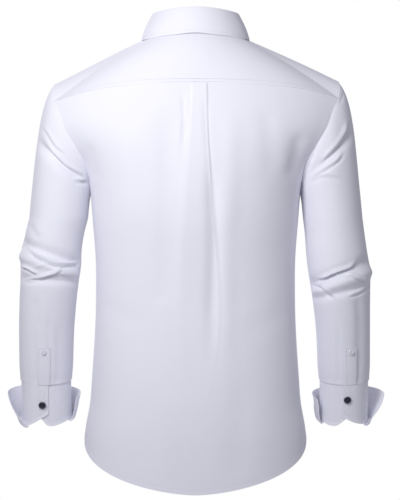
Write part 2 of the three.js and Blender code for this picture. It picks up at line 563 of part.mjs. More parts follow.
// Sleeves, with more rings round the elbow
const sleeveRows = [
  0, 0.1, 0.22, 0.34, 0.46, 0.58, 0.7, 0.84, 1, 1.08, 1.15, 1.2, 1.24, 1.28, 1.32, 1.36,
  1.4, 1.44, 1.5, 1.6, 1.72, 1.86, 2 - 0.0006,
];
const around = steps(20, 0, 360).slice(0, -1);
for (const side of ["left", "right"]) {
  const sign = side === "left" ? 1 : -1;
  const sleeve = grid(sleeveRows, around, (degrees, t) => sleevePoint(side, degrees, t));
  const axisPoint = (z) => V(sign * ringValue(side, "x", z), ringValue(side, "y", z), z);
  const sleeveWall = { closed: true, outside: axisPoint(-372), warp: hang };
  add(`sleeve_${side}`, wall(sleeve, sleeveWall), cotton());

  // The strip over the sleeve's slit, and its button
  const strip = STRIP[side];
  const stripPoint = (degrees, t) => sleevePoint(side, degrees, t);
  const stripGrid = grid(steps(5, STRIP.top, STRIP.bottom), steps(3, strip.from, strip.to), stripPoint);
  const stripWall = { start: CLOTH + GAP, thickness: STRIP.wall, outside: axisPoint(-530), warp: hang };
  add(`sleeve_placket_${side}`, wall(stripGrid, stripWall), cotton());
  const stripButton = add(`sleeve_placket_button_${side}`, buttonGeometry(SMALL_BUTTON), pearl());
  const stripMiddle = (strip.from + strip.to) / 2;
  const seatPoint = stripPoint(stripMiddle, STRIP.button);
  const outward = seatPoint.clone().sub(axisPoint(seatPoint.z));
  seat(stripButton, seatPoint, outward, CLOTH + STRIP.wall + 4 * GAP);

  // The cuff's band: one wall round the wrist whose ends lap at the back
  const edge = CUFF_EDGE[side];
  const ends = [edge[0].angle, edge.at(-1).angle];
  const lapped = (degrees) => CUFF.lapRise * ease(degrees, CUFF.lapFrom, CUFF.lapFull);
  const wristMiddle = wrist(side, 0, CUFF.middle).add(wrist(side, 180, CUFF.middle)).multiplyScalar(0.5);
  const bandGrid = grid(steps(4), steps(32, ...ends), (degrees, t) => wrist(
    side, degrees, mix(CUFF.drop, read(edge, "depth", "angle", degrees), t), lapped(degrees) - CUFF.inset,
  ));
  const band = wall(bandGrid, { thickness: CUFF.thickness, start: -CUFF.thickness, outside: wristMiddle });

  // The cufflink: a stud with a domed head, whose post passes both laps of the band
  const link = LINK[side];
  const outerFace = wrist(side, link.angle, link.depth, lapped(link.angle) - CUFF.inset);
  const innerFace = wrist(side, link.angle, link.depth, -CUFF.inset - CUFF.thickness);
  const axis = outerFace.clone().sub(wristMiddle);
  const along = wrist(side, 0, 1).sub(wrist(side, 0, 0));
  axis.addScaledVector(along, -axis.dot(along)).normalize();
  const grip = outerFace.clone().sub(innerFace).dot(axis);
  const hole = new THREE.CylinderGeometry(STUD.post + GAP, STUD.post + GAP, STUD.drill, 12);
  hole.applyQuaternion(new THREE.Quaternion().setFromUnitVectors(V(0, 1, 0), axis));
  hole.translate(outerFace.x, outerFace.y, outerFace.z);
  add(`cuff_band_${side}`, cut(band, hole), cotton());
  const low = -grip - GAP - STUD.slack;
  const high = GAP + STUD.rise;
  const stud = [
    [0, low - STUD.plate], [STUD.back - STUD.bevel, low - STUD.plate],
    [STUD.back, low - STUD.slack], [STUD.back, low], [STUD.post, low], [STUD.post, high],
    ...STUD_HEAD.map(([inward, up]) => [STUD.head - inward, high + up]), [0, high + STUD.dome],
  ];
  const studGeometry = new THREE.LatheGeometry(stud.map(([x, y]) => new THREE.Vector2(x, y)), 16);
  seat(add(`cufflink_${side}`, studGeometry, enamel()), outerFace, axis, 0);

  // The turned-back layer: it rolls up from the band's lower edge round the far side, and
  // stands off at both sides
  const turn = TURN[side];
  const turnGrid = grid(TURNBACK, steps(22), (u, { out, up }) => {
    const degrees = mix(turn.inside, mix(turn.roll, turn.free, ease(up, 0, TURN_RISE.ends)), u);
    const c = Math.cos(rad(degrees));
    const height = up > 0 ? up * mix(turn.inner, turn.outer, (1 + c) / 2) : up;
    const depth = read(edge, "depth", "angle", degrees) - height;
    const aside = turn.aside * c * ease(up, 0, TURN_RISE.aside);
    return wrist(side, degrees, depth, out - CUFF.inset + lapped(degrees) + aside);
  });
  const turnWall = { thickness: CUFF.thickness, start: -CUFF.thickness / 2, outside: wristMiddle };
  add(`cuff_turnback_${side}`, wall(turnGrid, turnWall), cotton());
}

export default shirt;
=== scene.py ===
"""A white long sleeve dress shirt seen from the back, filled out as if worn.

Lengths in the tables are millimetres, in the part's frame: +Z up, the front faces -Y and the
wearer's left is +X. Every cloth piece is a thin shell whose points are worked out on a grid.
"""
import math

import bpy
import numpy as np
from mathutils import Matrix


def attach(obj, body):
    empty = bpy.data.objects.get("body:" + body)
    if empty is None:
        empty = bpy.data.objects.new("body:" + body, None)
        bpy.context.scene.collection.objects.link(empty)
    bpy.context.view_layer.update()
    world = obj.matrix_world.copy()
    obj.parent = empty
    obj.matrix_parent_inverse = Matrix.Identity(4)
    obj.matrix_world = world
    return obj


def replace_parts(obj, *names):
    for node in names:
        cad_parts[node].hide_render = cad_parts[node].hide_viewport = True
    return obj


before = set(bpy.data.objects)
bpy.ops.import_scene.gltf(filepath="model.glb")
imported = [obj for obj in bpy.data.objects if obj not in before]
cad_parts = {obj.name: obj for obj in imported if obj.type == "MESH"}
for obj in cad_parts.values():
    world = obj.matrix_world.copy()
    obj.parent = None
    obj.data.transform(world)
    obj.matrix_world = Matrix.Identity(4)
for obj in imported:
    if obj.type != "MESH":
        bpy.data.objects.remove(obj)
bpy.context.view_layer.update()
MM = 0.001
SIDES = ("left", "right")
SIGN = {"left": 1, "right": -1}

# The photograph's view: level, from behind, with the frame 660 mm wide at the shirt
VIEW = dict(centre=(-7.5, -346), distance=3200, width=660)
FLOOR = dict(radius=560, level=-850, sides=96)

# Points inside the shirt, for telling outwards from inwards; those of the arm are the left one's
BODY_MIDDLE = (0, 0, -400)
ELBOW = np.array([236, 0, -372.0])
FOREARM = np.array([247, -30, -530.0])
NECK_MIDDLE = -4  # how far forward the neck's rings are centred, as y
IN_STAND, IN_FALL = (0, NECK_MIDDLE, 20), (0, NECK_MIDDLE, -10)

# Sizes shared by the pieces
NECK = dict(half_width=74, half_depth=66, back=14, side=0, front=-40)
FOLD = dict(half_width=70.8, half_depth=62.6, back=46, side=40.5, front=-10)
UNDERARM = -252
YOKE_SEAM = dict(centre=-79, turn=0.6)
NECK_JUNCTION = 118  # degrees round the neck from the back to the yoke's front seam
HEM = dict(side=-655, back=-736, front=-705, curve=1.62)
PANEL = dict(top=-0.9984, side=0.9993)  # where a panel stops, just short of its seams
NECK_SHARE = 0.33  # the share of a front's top that follows the neckline
LAP = dict(s=0.0635, inset=1.9, fade=0.12)
PLEAT = dict(
    s=0.046, edge=0.008, near=0.3, rise=3.2, shift=-6.5, widen=17, start=110, widest=460, end=640,
    at_top=0.55, full=(80, 260), flat_from=200)
# The pleat's right and left edge: width at the top, growth, and the levels between which it grows
PLEAT_EDGES = [(0.012, 0.066, 90, 240), (0.016, 0.02, 160, 380)]
YOKE_BULGE = dict(front=-8.0, crown=(0, 7.0, 6.0), back=(0, 5.0, 3.0), shoulder=4.2)
CUFF = dict(thickness=1.6, lap_rise=2.3, inset=1.5)
STAND = dict(start=-172, end=190, inset=1.6, underlap=2.3)
FALL = dict(half_width=89, half_depth=74, middle=-2, reach=0.88, end=176, forward=24, bulge=1.8)
ROLL = dict(out=(-0.4, 1.6, 3.1), up=(1.4, 1.9, -0.6))  # the collar's fold, from inside to outside
# The fall's free edge: angle round the neck, level
FALL_EDGE = np.array([
    (0, 4.7), (6, 4.4), (12, 3.5), (23, 2), (35, 1.2), (47, 0), (59, -1), (70, -1.6), (82, -0.8),
    (94, -3.6), (106, -14), (117, -30), (129, -47), (141, -61), (153, -71), (164, -78), (176, -81),
], float)
RIGHT_SHOULDER_RISE = 5
CLOTH = dict(low=0.45, high=1.2)  # the two faces of a panel, out from its inner surface
ON_PANEL = dict(low=1.6, high=2.7)  # a strip that lies on a panel
ON_SLEEVE = dict(low=1.6, high=2.35)  # a strip that lies on a sleeve

# The body: level, half width, depth to the back, depth to the front
TORSO = np.array([
    (-38, 190, 88, 70), (-70, 186, 98, 88), (-120, 180, 110, 104), (-180, 174, 117, 118),
    (-252, 171, 118, 125), (-293, 168, 115, 123), (-359, 163, 105, 117), (-425, 162.5, 101, 113),
    (-478, 164, 104, 112), (-557, 169, 112, 112), (-596, 172, 116, 112), (-649, 180.5, 118, 112),
    (-745, 182, 117, 110),
], float)
HALF, BACK, FRONT = 1, 2, 3  # columns of TORSO

ARMHOLE = np.array([
    (229, 0, -73), (232, 24, -83), (228, 43, -104), (220, 53, -121), (210, 60, -150),
    (194, 58, -177), (179, 46, -203), (172.5, 25, -232), (171, 0, -252), (173, -27, -236),
    (180, -48, -208), (193, -60, -178), (207, -62, -146), (219, -55, -117), (226, -42, -98),
    (230.5, -22, -82),
], float)
BACK_STATION, UNDERARM_STATION, FRONT_STATION, STATIONS = 2, 8, 14, 16

# The sleeves: level, middle x, middle y, half width, half depth, forward tilt in degrees
SLEEVES = {
    "left": np.array([
        (-293, 225.7, -2, 47.2, 59, 0), (-319, 232.2, -1, 47.2, 57, 1), (-346, 237.5, 0, 48.5, 56, 4),
        (-372, 238.5, 0, 48.5, 55, 8), (-398, 240.7, -3, 47, 53, 11), (-425, 243.5, -8, 46, 51, 12),
        (-478, 247, -19, 44.5, 47, 12), (-560, 249, -36, 43, 42, 12),
    ], float),
    "right": np.array([
        (-293, 226.5, -2, 47.8, 59, 0), (-319, 229.7, -1, 47.9, 57, 1), (-346, 232.5, 0, 49, 56, 4),
        (-372, 236, 0, 50, 55, 8), (-398, 239, -3, 49, 53, 11), (-425, 241, -8, 46.5, 51, 12),
        (-478, 244.7, -19, 43.6, 47, 12), (-560, 247.6, -36, 42, 42, 12),
    ], float),
}
MID_X, MID_Y, HALF_X, HALF_Y, TILT = 1, 2, 3, 4, 5  # columns of SLEEVES
CAP = dict(out=24, drop=22, under=12, back=90, low=12, swing=6, lean=-0.09, clear=(2.4, 0.2))

# The elbow's broad folds: level at the outer and inner side, depth, half height, from, to
FOLDS = {
    "left": [(-335, -368, 5.5, 9, -20, 175), (-356, -388, -4, 8, -10, 180),
             (-392, -396, 4, 7, 10, 190), (-168, -238, 5, 11, 20, 170)],
    "right": [(-362, -402, 5.5, 9, 0, 185), (-382, -418, -4, 8, -15, 180),
              (-404, -424, 4, 7, -20, 180), (-152, -232, 5, 11, 20, 170)],
}

# Finer creases, as seen from the back: path of (x, z), depth, half width, lip above it
SLEEVE_CREASES = {
    "left": [
        ([(252, -167), (233, -189), (214, -209), (197, -220), (176, -233)], 2.8, 2.8, 1.2),
        ([(250, -146), (240, -161), (227, -181), (209, -194)], 1.6, 2.6, 1.0),
        ([(199, -236), (188, -236), (174, -234)], 2.4, 2.6, 1.0),
        ([(279, -340), (261, -358), (236, -370), (220, -374), (203, -373), (191, -368)], 3.6, 2.2, 1.5),
        ([(286, -374), (273, -379), (255, -389)], 2.8, 2.0, 1.4),
        ([(213, -379), (224, -383), (240, -389), (257, -393), (283, -401)], 2.6, 2.0, 1.3),
        ([(281, -401), (261, -399), (228, -387), (199, -393)], 1.6, 2.4, 1.2),
        ([(268, -377), (248, -369), (240, -368)], -1.4, 3.0, 0),
        ([(270, -300), (262, -318), (250, -330)], 1.2, 5, 0.4),
        ([(262, -420), (258, -450), (256, -478)], 0.9, 7, 0.3),
        ([(240, -440), (241, -510), (243, -620)], 1.3, 4, 0.3),
        ([(264, -450), (263, -620)], 1.0, 4, 0.2),
        ([(224, -450), (229, -620)], 1.2, 5, 0.2),
    ],
    "right": [
        ([(219, -106), (205, -143), (197, -169), (189, -197), (179, -225), (172, -250)], 2.6, 3.2, 0.9),
        ([(242, -87), (233, -111)], 1.5, 3, 0.8),
        ([(251, -134), (247, -153), (233, -176), (217, -194), (204, -209)], 2.4, 2.8, 1.3),
        ([(244, -185), (233, -202), (217, -214), (200, -225), (183, -235)], 2.2, 2.6, 1.2),
        ([(184, -240), (208, -228), (236, -234)], 1.6, 2.6, 1.1),
        ([(267, -362), (251, -375), (230, -383), (214, -391), (197, -397)], 3.6, 2.2, 1.5),
        ([(286, -395), (271, -397), (255, -391), (243, -389)], 2.6, 2.0, 1.4),
        ([(284, -406), (267, -418), (247, -424)], 2.4, 2.2, 1.2),
        ([(193, -403), (210, -412), (228, -430)], 2.6, 2.2, 1.2),
        ([(260, -400), (268, -450), (268, -520), (258, -620)], 2.4, 8, 0),
        ([(234, -450), (236, -620)], 1.0, 4, 0.2),
        ([(222, -440), (225, -620)], 0.8, 4, 0.2),
    ],
}
BACK_CREASES = [
    ([(-14, -90), (-16, -131), (-19, -180), (-23, -240), (-30, -320)], 1.2, 5, 0),
    ([(22, -84), (19, -110), (18, -150), (20, -190)], 1.3, 4, 0.4),
    ([(42, -110), (43, -160), (46, -252), (50, -400), (52, -440)], 2.6, 17, 0),
    ([(-22, -190), (-28, -270), (-30, -340), (-28, -420), (-25, -560)], 6.0, 11, 0),
    ([(105, -120), (108, -220), (104, -330)], -1.8, 24, 0),
    ([(-56, -110), (-55, -220), (-53, -340)], -1.8, 16, 0),
    ([(-169, -150), (-161, -197), (-152, -240)], 3.5, 12, 0),
    ([(172, -165), (166, -205), (160, -240)], 1.6, 9, 0),
    ([(-110, -110), (-118, -170), (-122, -240)], 1.6, 14, 0),
    ([(150, -420), (120, -452), (70, -470)], 0.8, 16, 0.3),
    ([(-150, -430), (-118, -462), (-66, -478)], 0.8, 16, 0.3),
    ([(96, -560), (84, -640), (80, -720)], 1.6, 20, 0),
    ([(-76, -540), (-70, -640), (-66, -730)], 1.8, 20, 0),
]
FRONT_CREASES = [
    ([(60, -120), (64, -200), (60, -300)], 1.6, 14, 0),
    ([(152, -150), (140, -200), (120, -232)], 2.2, 9, 0.3),
    ([(148, -420), (118, -450), (66, -466)], 1.6, 14, 0.3),
    ([(92, -520), (84, -600), (80, -680)], 1.6, 18, 0),
    ([(140, -560), (120, -600), (112, -650)], 1.2, 12, 0),
]

# The cuffs' lower edge: angle round the wrist, depth below the sleeve's end
CUFF_EDGE = {
    "left": np.array([(-286, 54), (-275, 61), (-265, 69.5), (-250, 71), (-228, 68), (-190, 64), (-90, 69),
                      (0, 68), (30, 70.5), (49, 71.5), (64, 66.5), (82, 57.5), (98, 49)], float),
    "right": np.array([(-284, 52), (-272, 58), (-260, 66), (-248, 71), (-230, 71.5), (-205, 67), (-180, 65),
                       (-90, 69), (0, 67), (25, 70.5), (48, 69.5), (72, 64), (96, 54)], float),
}
# The turned-back layer's profile: step, out, up
TURNBACK = np.array([
    (0, -0.7, -1.4), (1, 1.7, -3.1), (2, 5.4, -2.4), (3, 8.4, 8), (4, 13, 22), (5, 16.6, 37), (6, 19.3, 50),
], float)
# By side: the share of that height at the outer and inner side, how much further the layer stands
# off at the outer side, and the angles where it ends, at the roll and at the free edge
TURN = {
    "left": dict(outer=0.9, inner=0.79, aside=3.6, inside=-205, roll=50, free=18),
    "right": dict(outer=0.82, inner=0.78, aside=7.4, inside=-212, roll=38, free=18),
}
STRIP = {"left": (75, 103), "right": (66, 90)}  # degrees that the sleeve's strip covers
STRIP_LEVELS = (1.76, 1.998)  # where it starts and ends along the sleeve
LINK = {"left": (85.5, 34), "right": (86, 25)}  # cufflink: angle, depth below the sleeve
BUTTON_LEVELS = (-0.83, -0.42, 0, 0.19, 0.38, 0.57, 0.76)
SHIRT_BUTTON, SLEEVE_BUTTON = (5.5, 2.4), (4, 2)  # radius, height
SEAT = dict(front=3.0, collar=1.2, sleeve=3.4)  # a button's back, out from the cloth's inner surface
STITCH = dict(pitch=3.0, length=2.3, half=0.28)
LIFT = dict(yoke=1.45, hem=1.4, placket=2.65, collar=0.95, strip=2.4)  # the same for a row of stitches
YOKE_ROWS = (2, 7)  # the rows' distances from the back seam
HEM_ROW = 6.5  # a hem row's height above the edge
PLACKET = dict(half=17.2, row=6)  # its half width and how far in its rows run
FALL_ROW = 4.68  # how far over the fall its row runs, of 5
# A sleeve strip's rows: degrees in from its sides, the levels of its two bars and of its end
STRIP_ROWS = dict(inset=2.6, bars=(1.768, 1.815), end=1.995)
STRIP_BUTTON = 1.79  # the button's level on the strip
LIP = dict(away=1.9, width=1.3)  # a crease's lip, in half widths of its trough
CREASE_FADE = 0.28  # the share of a crease over which each end fades out


def vec(x, y, z):
    """Stacks three arrays, spread to one shape, as points."""
    return np.stack(np.broadcast_arrays(*(np.asarray(k, float) for k in (x, y, z))), axis=-1)


def mix(a, b, t):
    """a at t = 0, b at t = 1; points take t spread over their coordinates."""
    a, b, t = np.asarray(a, float), np.asarray(b, float), np.asarray(t, float)
    if max(a.ndim, b.ndim) > 0 and (a.shape[-1:] == (3,) or b.shape[-1:] == (3,)) and t.ndim:
        t = t[..., None]
    return a + (b - a) * t


def ease(x, low, high):
    """Smooth step: 0 below low, 1 above high, 3t^2 - 2t^3 between."""
    t = np.clip((np.asarray(x, float) - low) / (high - low), 0, 1)
    return t * t * (3 - 2 * t)


def unit(arrows):
    """Arrows made one long, along their last axis."""
    return arrows / np.linalg.norm(arrows, axis=-1, keepdims=True)


def read(table, column, value):
    """A column of a table at a value of its first column, by cubic pieces through the rows."""
    key, col = table[:, 0], table[:, column]
    if key[0] > key[-1]:
        key, col = key[::-1], col[::-1]
    row = np.arange(len(key))
    low, high = np.maximum(row - 1, 0), np.minimum(row + 1, len(key) - 1)
    slope = (col[high] - col[low]) / (key[high] - key[low])
    value = np.asarray(value, float)
    i = np.clip(np.searchsorted(key, value, side="right") - 1, 0, len(key) - 2)
    span = key[i + 1] - key[i]
    t = np.clip((value - key[i]) / span, 0, 1)
    base = col[i] + (col[i + 1] - col[i]) * t * t * (3 - 2 * t)
    return base + (t - 1) * t * span * ((t - 1) * slope[i] + t * slope[i + 1])


def hang(p):
    """The right shoulder sits a little higher, fading out at the underarm."""
    lift = ease(-p[..., 0], 60, 230) * ease(p[..., 2], UNDERARM, -90)
    return p + lift[..., None] * np.array([-3.0, 0.0, RIGHT_SHOULDER_RISE])


def body(z, s, face):
    """A point of the body: x is half width times sin of s quarter turns, y a superellipse."""
    g = np.sin(np.abs(s) * np.pi / 2)
    f = np.clip(1 - g ** 2.4, 0, 1) ** (1 / 2.2)
    depth = read(TORSO, face, z) * (1 if face == BACK else -1)
    return vec(read(TORSO, HALF, z) * g, depth * f, z)


def armhole(station):
    """A centripetal Catmull-Rom curve through the armhole's stations."""
    station = np.mod(np.asarray(station, float), STATIONS)
    i = np.floor(station).astype(int)
    t = (station - i)[..., None]
    p0, p1, p2, p3 = (ARMHOLE[(i + k) % STATIONS] for k in (-1, 0, 1, 2))
    pairs = ((p0, p1), (p1, p2), (p2, p3))
    d0, d1, d2 = (np.linalg.norm(b - a, axis=-1)[..., None] ** 0.5 for a, b in pairs)
    t1 = ((p1 - p0) / d0 - (p2 - p0) / (d0 + d1) + (p2 - p1) / d1) * d1
    t2 = ((p2 - p1) / d1 - (p3 - p1) / (d1 + d2) + (p3 - p2) / d2) * d1
    return p1 + t1 * t + (-3 * p1 + 3 * p2 - 2 * t1 - t2) * t ** 2 + (2 * p1 - 2 * p2 + t1 + t2) * t ** 3


def neck_ring(ring, degrees, inset=0.0):
    """A ring round the neck: an ellipse from above, higher at the back than at the front."""
    a = np.radians(degrees)
    c = np.cos(a)
    z = np.where(c > 0, mix(ring["side"], ring["back"], np.abs(c) ** 3),
                 mix(ring["side"], ring["front"], np.abs(c) ** 1.4))
    y = NECK_MIDDLE + (ring["half_depth"] - inset) * c
    return vec((ring["half_width"] - inset) * np.sin(a), y, z)


def back_seam(s):
    """The yoke's back seam, dropping with the 3.2th power towards the armhole."""
    end = armhole(BACK_STATION)
    y = end[1] + (float(read(TORSO, BACK, YOKE_SEAM["centre"])) - end[1]) * (1 - s ** 2.3)
    return vec(end[0] * s, y, mix(YOKE_SEAM["centre"], end[2], s ** 3.2))


def front_seam(t):
    """The yoke's front seam: a straight line with a sine's bulge forward."""
    line = mix(neck_ring(NECK, NECK_JUNCTION), armhole(FRONT_STATION), np.asarray(t, float))
    return line + np.sin(np.pi * np.asarray(t))[..., None] * np.array([0, YOKE_BULGE["front"], 0])


def patch(s, v, top, bottom, first, second):
    """A ruled patch between two curves, its ends pulled onto two more with weight s squared."""
    zero, one = np.zeros_like(s), np.ones_like(s)
    w = (s * s)[..., None]
    chord = [mix(top(k), bottom(k), v) for k in (s, zero, one)]
    return chord[0] + (first(v) - chord[1]) * (1 - w) + (second(v) - chord[2]) * w


def hem_level(a, low, face):
    """A panel's level from the underarm down to its hem, which rises towards the side seam."""
    return mix(mix(UNDERARM, HEM[face], low), mix(UNDERARM, HEM["side"], low), a ** HEM["curve"])


def back_point(s, v):
    """The back panel: v is -1 at the yoke seam, 0 at the underarm and 1 at the hem."""
    a = np.abs(s)

    def centre(t):
        z = mix(YOKE_SEAM["centre"], UNDERARM, t)
        return vec(0 * z, read(TORSO, BACK, z), z)

    upper = patch(a, np.clip(v, -1, 0) + 1, back_seam, lambda k: body(UNDERARM + 0 * k, k, BACK), centre,
                  lambda t: armhole(mix(BACK_STATION, UNDERARM_STATION, t)))
    low = np.clip(v, 0, 1)
    lower = body(hem_level(a, low, "back"), a, BACK)
    p = np.where((v < 0)[..., None], upper, lower)
    down = -p[..., 2]
    fading = 1 - ease(down, PLEAT["widest"], PLEAT["end"])
    near = 1 - ease(a, PLEAT["s"], PLEAT["near"])
    wider = PLEAT["widen"] * ease(down, PLEAT["start"], PLEAT["widest"]) * fading
    p[..., 0] += wider * ease(a, 0, PLEAT["s"]) * near
    p[..., 0] *= np.where(s < 0, -1, 1)
    p[..., 0] += PLEAT["shift"] * near * fading
    soft = np.where(s > 0, *(top + more * ease(down, low, high) for top, more, low, high in PLEAT_EDGES))
    raised = mix(PLEAT["at_top"], 1, ease(down, *PLEAT["full"]))
    raised = raised * (1 - ease(down, PLEAT["flat_from"], PLEAT["end"]))
    p[..., 1] += PLEAT["rise"] * raised * (1 - ease(a, PLEAT["s"], PLEAT["s"] + soft))
    return p


def front_point(s, v):
    """A front panel over the same v; its top follows the neckline, then the yoke seam."""
    a = np.abs(s)

    def top(k):
        neck = neck_ring(NECK, mix(180, NECK_JUNCTION, np.clip(k / NECK_SHARE, 0, 1)))
        seam = front_seam(np.clip((k - NECK_SHARE) / (1 - NECK_SHARE), 0, 1))
        return np.where((k < NECK_SHARE)[..., None], neck, seam)

    def centre(t):
        z = mix(NECK["front"], UNDERARM, t)
        return vec(0 * z, -read(TORSO, FRONT, z), z)

    upper = patch(a, np.clip(v, -1, 0) + 1, top, lambda k: body(UNDERARM + 0 * k, k, FRONT), centre,
                  lambda t: armhole(mix(FRONT_STATION, UNDERARM_STATION, t)))
    low = np.clip(v, 0, 1)
    lower = body(hem_level(a, low, "front"), a, FRONT)
    p = np.where((v < 0)[..., None], upper, lower)
    p[..., 0] *= np.where(s < 0, -1, 1)
    return p


def underlap_point(s, v):
    """The right front: sunk under the left one near the centre line."""
    p = front_point(s, v)
    p[..., 1] += LAP["inset"] * (1 - ease(-s, LAP["s"], LAP["fade"]))
    return p


def yoke_point(c, r):
    """The yoke: a fan from the neckline to the two front seams, the armholes and the back seam."""
    k = 1 - np.abs(c)

    def inner(q):
        return neck_ring(NECK, NECK_JUNCTION * (1 - q))

    def outer(q):
        past = np.clip((1 - q - YOKE_SEAM["turn"]) / (1 - YOKE_SEAM["turn"]), 0, 1)
        edge = armhole(mix(BACK_STATION, FRONT_STATION - STATIONS, past))
        seam = back_seam(np.clip((1 - q) / YOKE_SEAM["turn"], 0, 1))
        return np.where((1 - q <= YOKE_SEAM["turn"])[..., None], seam, edge)

    def centre(t):
        one = np.ones_like(t)
        return mix(inner(one), outer(one), t) + np.sin(np.pi * t)[..., None] * np.array(YOKE_BULGE["crown"])

    p = patch(k, r, inner, outer, front_seam, centre)
    bulge = np.sin(np.pi * r) * np.sin(np.pi * k) ** 2
    p += bulge[..., None] * np.array(YOKE_BULGE["back"])
    near = ease(k, 0, 0.2) * (1 - ease(k, 0.5, 0.9))
    p[..., 2] += YOKE_BULGE["shoulder"] * np.sin(np.pi * r ** 0.36) * near
    p[..., 0] *= np.where(c > 0, -1, 1)
    return p


def sleeve_ring(side, degrees, z, grow=0.0):
    """An ellipse round the arm, tilted so that its back lies lower."""
    table, a = SLEEVES[side], np.radians(degrees)
    tilt = np.radians(read(table, TILT, z))
    depth = (read(table, HALF_Y, z) + grow) * np.sin(a)
    x = read(table, MID_X, z) + (read(table, HALF_X, z) + grow) * np.cos(a)
    return vec(x, read(table, MID_Y, z) + depth * np.cos(tilt), z - depth * np.sin(tilt))


def fold_depth(side, degrees, z):
    """How far the broad folds sink the sleeve: a sum of bell curves in z."""
    turn = (1 - np.cos(np.radians(degrees))) / 2
    total = 0.0
    for outer, inner, depth, half, start, end in FOLDS[side]:
        reach = ease(degrees, start, start + 30) * (1 - ease(degrees, end - 30, end))
        total = total + depth * reach * np.exp(-((z - mix(outer, inner, turn)) / half) ** 2)
    return total


def sleeve_point(side, degrees, t):
    """A sleeve: t is 0 at the armhole, 1 at the first ring and 2 at the wrist; above the
    first ring each line is a cubic Bezier curve that leaves the armhole outwards."""
    first, last = SLEEVES[side][0, 0], SLEEVES[side][-1, 0]
    a = np.radians(degrees)
    high = (1 + np.cos(a)) / 2
    start = armhole(degrees / 360 * STATIONS)
    start[..., 0] += mix(*CAP["clear"], np.sqrt(high))
    stop = sleeve_ring(side, degrees, first + 0 * degrees)
    leave = vec(mix(CAP["under"] / 4, CAP["out"], high), CAP["swing"] * np.sin(a),
                -mix(CAP["under"], CAP["drop"], high))
    arrive = vec(CAP["lean"], 0 * a, 1) * mix(CAP["low"], CAP["back"], high)[..., None]
    k = np.clip(t, 0, 1)[..., None]
    cap = ((1 - k) ** 3 * start + 3 * (1 - k) ** 2 * k * (start + leave)
           + 3 * (1 - k) * k ** 2 * (stop + arrive) + k ** 3 * stop)
    rings = sleeve_ring(side, degrees, mix(first, last, np.clip(t - 1, 0, 1)))
    p = np.where((t < 1)[..., None], cap, rings)
    z = p[..., 2]
    mid = vec(read(SLEEVES[side], MID_X, np.minimum(z, first)), read(SLEEVES[side], MID_Y, z), z)
    inward = mid - p
    inward[..., 2] = 0
    sink = fold_depth(side, degrees, z) * ease(t, 0.08, 0.5) * (1 - ease(t, 1.8, 2))
    p = p + unit(inward) * sink[..., None]
    p[..., 0] *= SIGN[side]
    return p


def wrist_point(side, degrees, depth, grow=0.0):
    """A point at an angle round the wrist, a depth below the sleeve's end along the arm."""
    last = SLEEVES[side][-1]
    tilt = math.radians(last[TILT])
    p = sleeve_ring(side, degrees, last[0] + 0 * degrees, grow)
    p = p + np.asarray(depth)[..., None] * np.array([0, -math.sin(tilt), -math.cos(tilt)])
    p[..., 0] *= SIGN[side]
    return p


def lapped(degrees):
    """How far the cuff's upper end stands out over the lower one."""
    return CUFF["lap_rise"] * ease(degrees, 10, 70)


def stand_point(degrees, t):
    """The collar's stand, straight from the neckline to the fold, its right end tucked in."""
    inset = STAND["inset"] + STAND["underlap"] * ease(-degrees, 148, 166)
    foot = neck_ring(NECK, degrees, inset) + np.array([0, 0, 1.0])
    return mix(foot, neck_ring(FOLD, degrees, inset), t)


def fall_point(degrees, k):
    """The collar's fall: over the fold for k from 0 to 2, then down to its free edge at 5."""
    a = np.abs(degrees) / FALL["end"]
    turned = np.radians(degrees * mix(1, FALL["reach"], ease(a, 0.5, 1)))
    c = np.cos(turned)
    y = FALL["middle"] + FALL["half_depth"] * c - FALL["forward"] * ease(a, 0.35, 0.8)
    edge = vec(FALL["half_width"] * np.sin(turned), y, read(FALL_EDGE, 1, np.abs(degrees)))
    top = neck_ring(FOLD, degrees, STAND["inset"])
    out = edge - top
    out[..., 2] = 0
    out = unit(out)
    shift, rise = (np.interp(k, (0, 1, 2), ROLL[way]) for way in ("out", "up"))
    start = top + out * shift[..., None] + vec(0, 0, rise)
    down = np.clip((k - 2) / 3, 0, 1)
    return mix(start, edge, down) + out * (FALL["bulge"] * np.sin(np.pi * down))[..., None]


def crease(p, creases, mirror=1.0):
    """Relief of creases seen from the back: a bell-shaped trough along each path, with a
    softer lip above it, both fading out at the path's ends."""
    x, z = p[..., 0] * mirror, p[..., 2]
    total = np.zeros_like(x)
    for path, depth, half, lip in creases:
        path = np.array(path, float)
        key = np.linspace(0, 1, len(path))
        table = np.column_stack([key, path])
        u = np.linspace(0, 1, 4 * len(path))
        line = np.column_stack([read(table, 1, u), read(table, 2, u)])
        best = np.full(x.shape, 1e9)
        along, signed = np.zeros_like(x), np.zeros_like(x)
        for i in range(len(line) - 1):
            ax, az = line[i]
            dx, dz = line[i + 1] - line[i]
            size = dx * dx + dz * dz
            t = np.clip(((x - ax) * dx + (z - az) * dz) / size, 0, 1)
            ox, oz = x - ax - t * dx, z - az - t * dz
            d = np.hypot(ox, oz)
            near = d < best
            side = np.sign(dx * oz - dz * ox) * (np.sign(dx) if dx else 1)
            best = np.where(near, d, best)
            signed = np.where(near, side * d, signed)
            along = np.where(near, (i + t) / (len(line) - 1), along)
        fade = ease(along, 0, CREASE_FADE) * (1 - ease(along, 1 - CREASE_FADE, 1))
        raised = lip * np.exp(-((signed / half - LIP["away"]) / LIP["width"]) ** 2)
        total += depth * fade * (raised - np.exp(-(best / half) ** 2))
    return total


def srgb(code):
    """Linear red, green, blue and alpha of an sRGB hex colour."""
    part = [int(code[i:i + 2], 16) / 255 for i in (1, 3, 5)]
    return tuple(c / 12.92 if c <= 0.04045 else ((c + 0.055) / 1.055) ** 2.4 for c in part) + (1.0,)


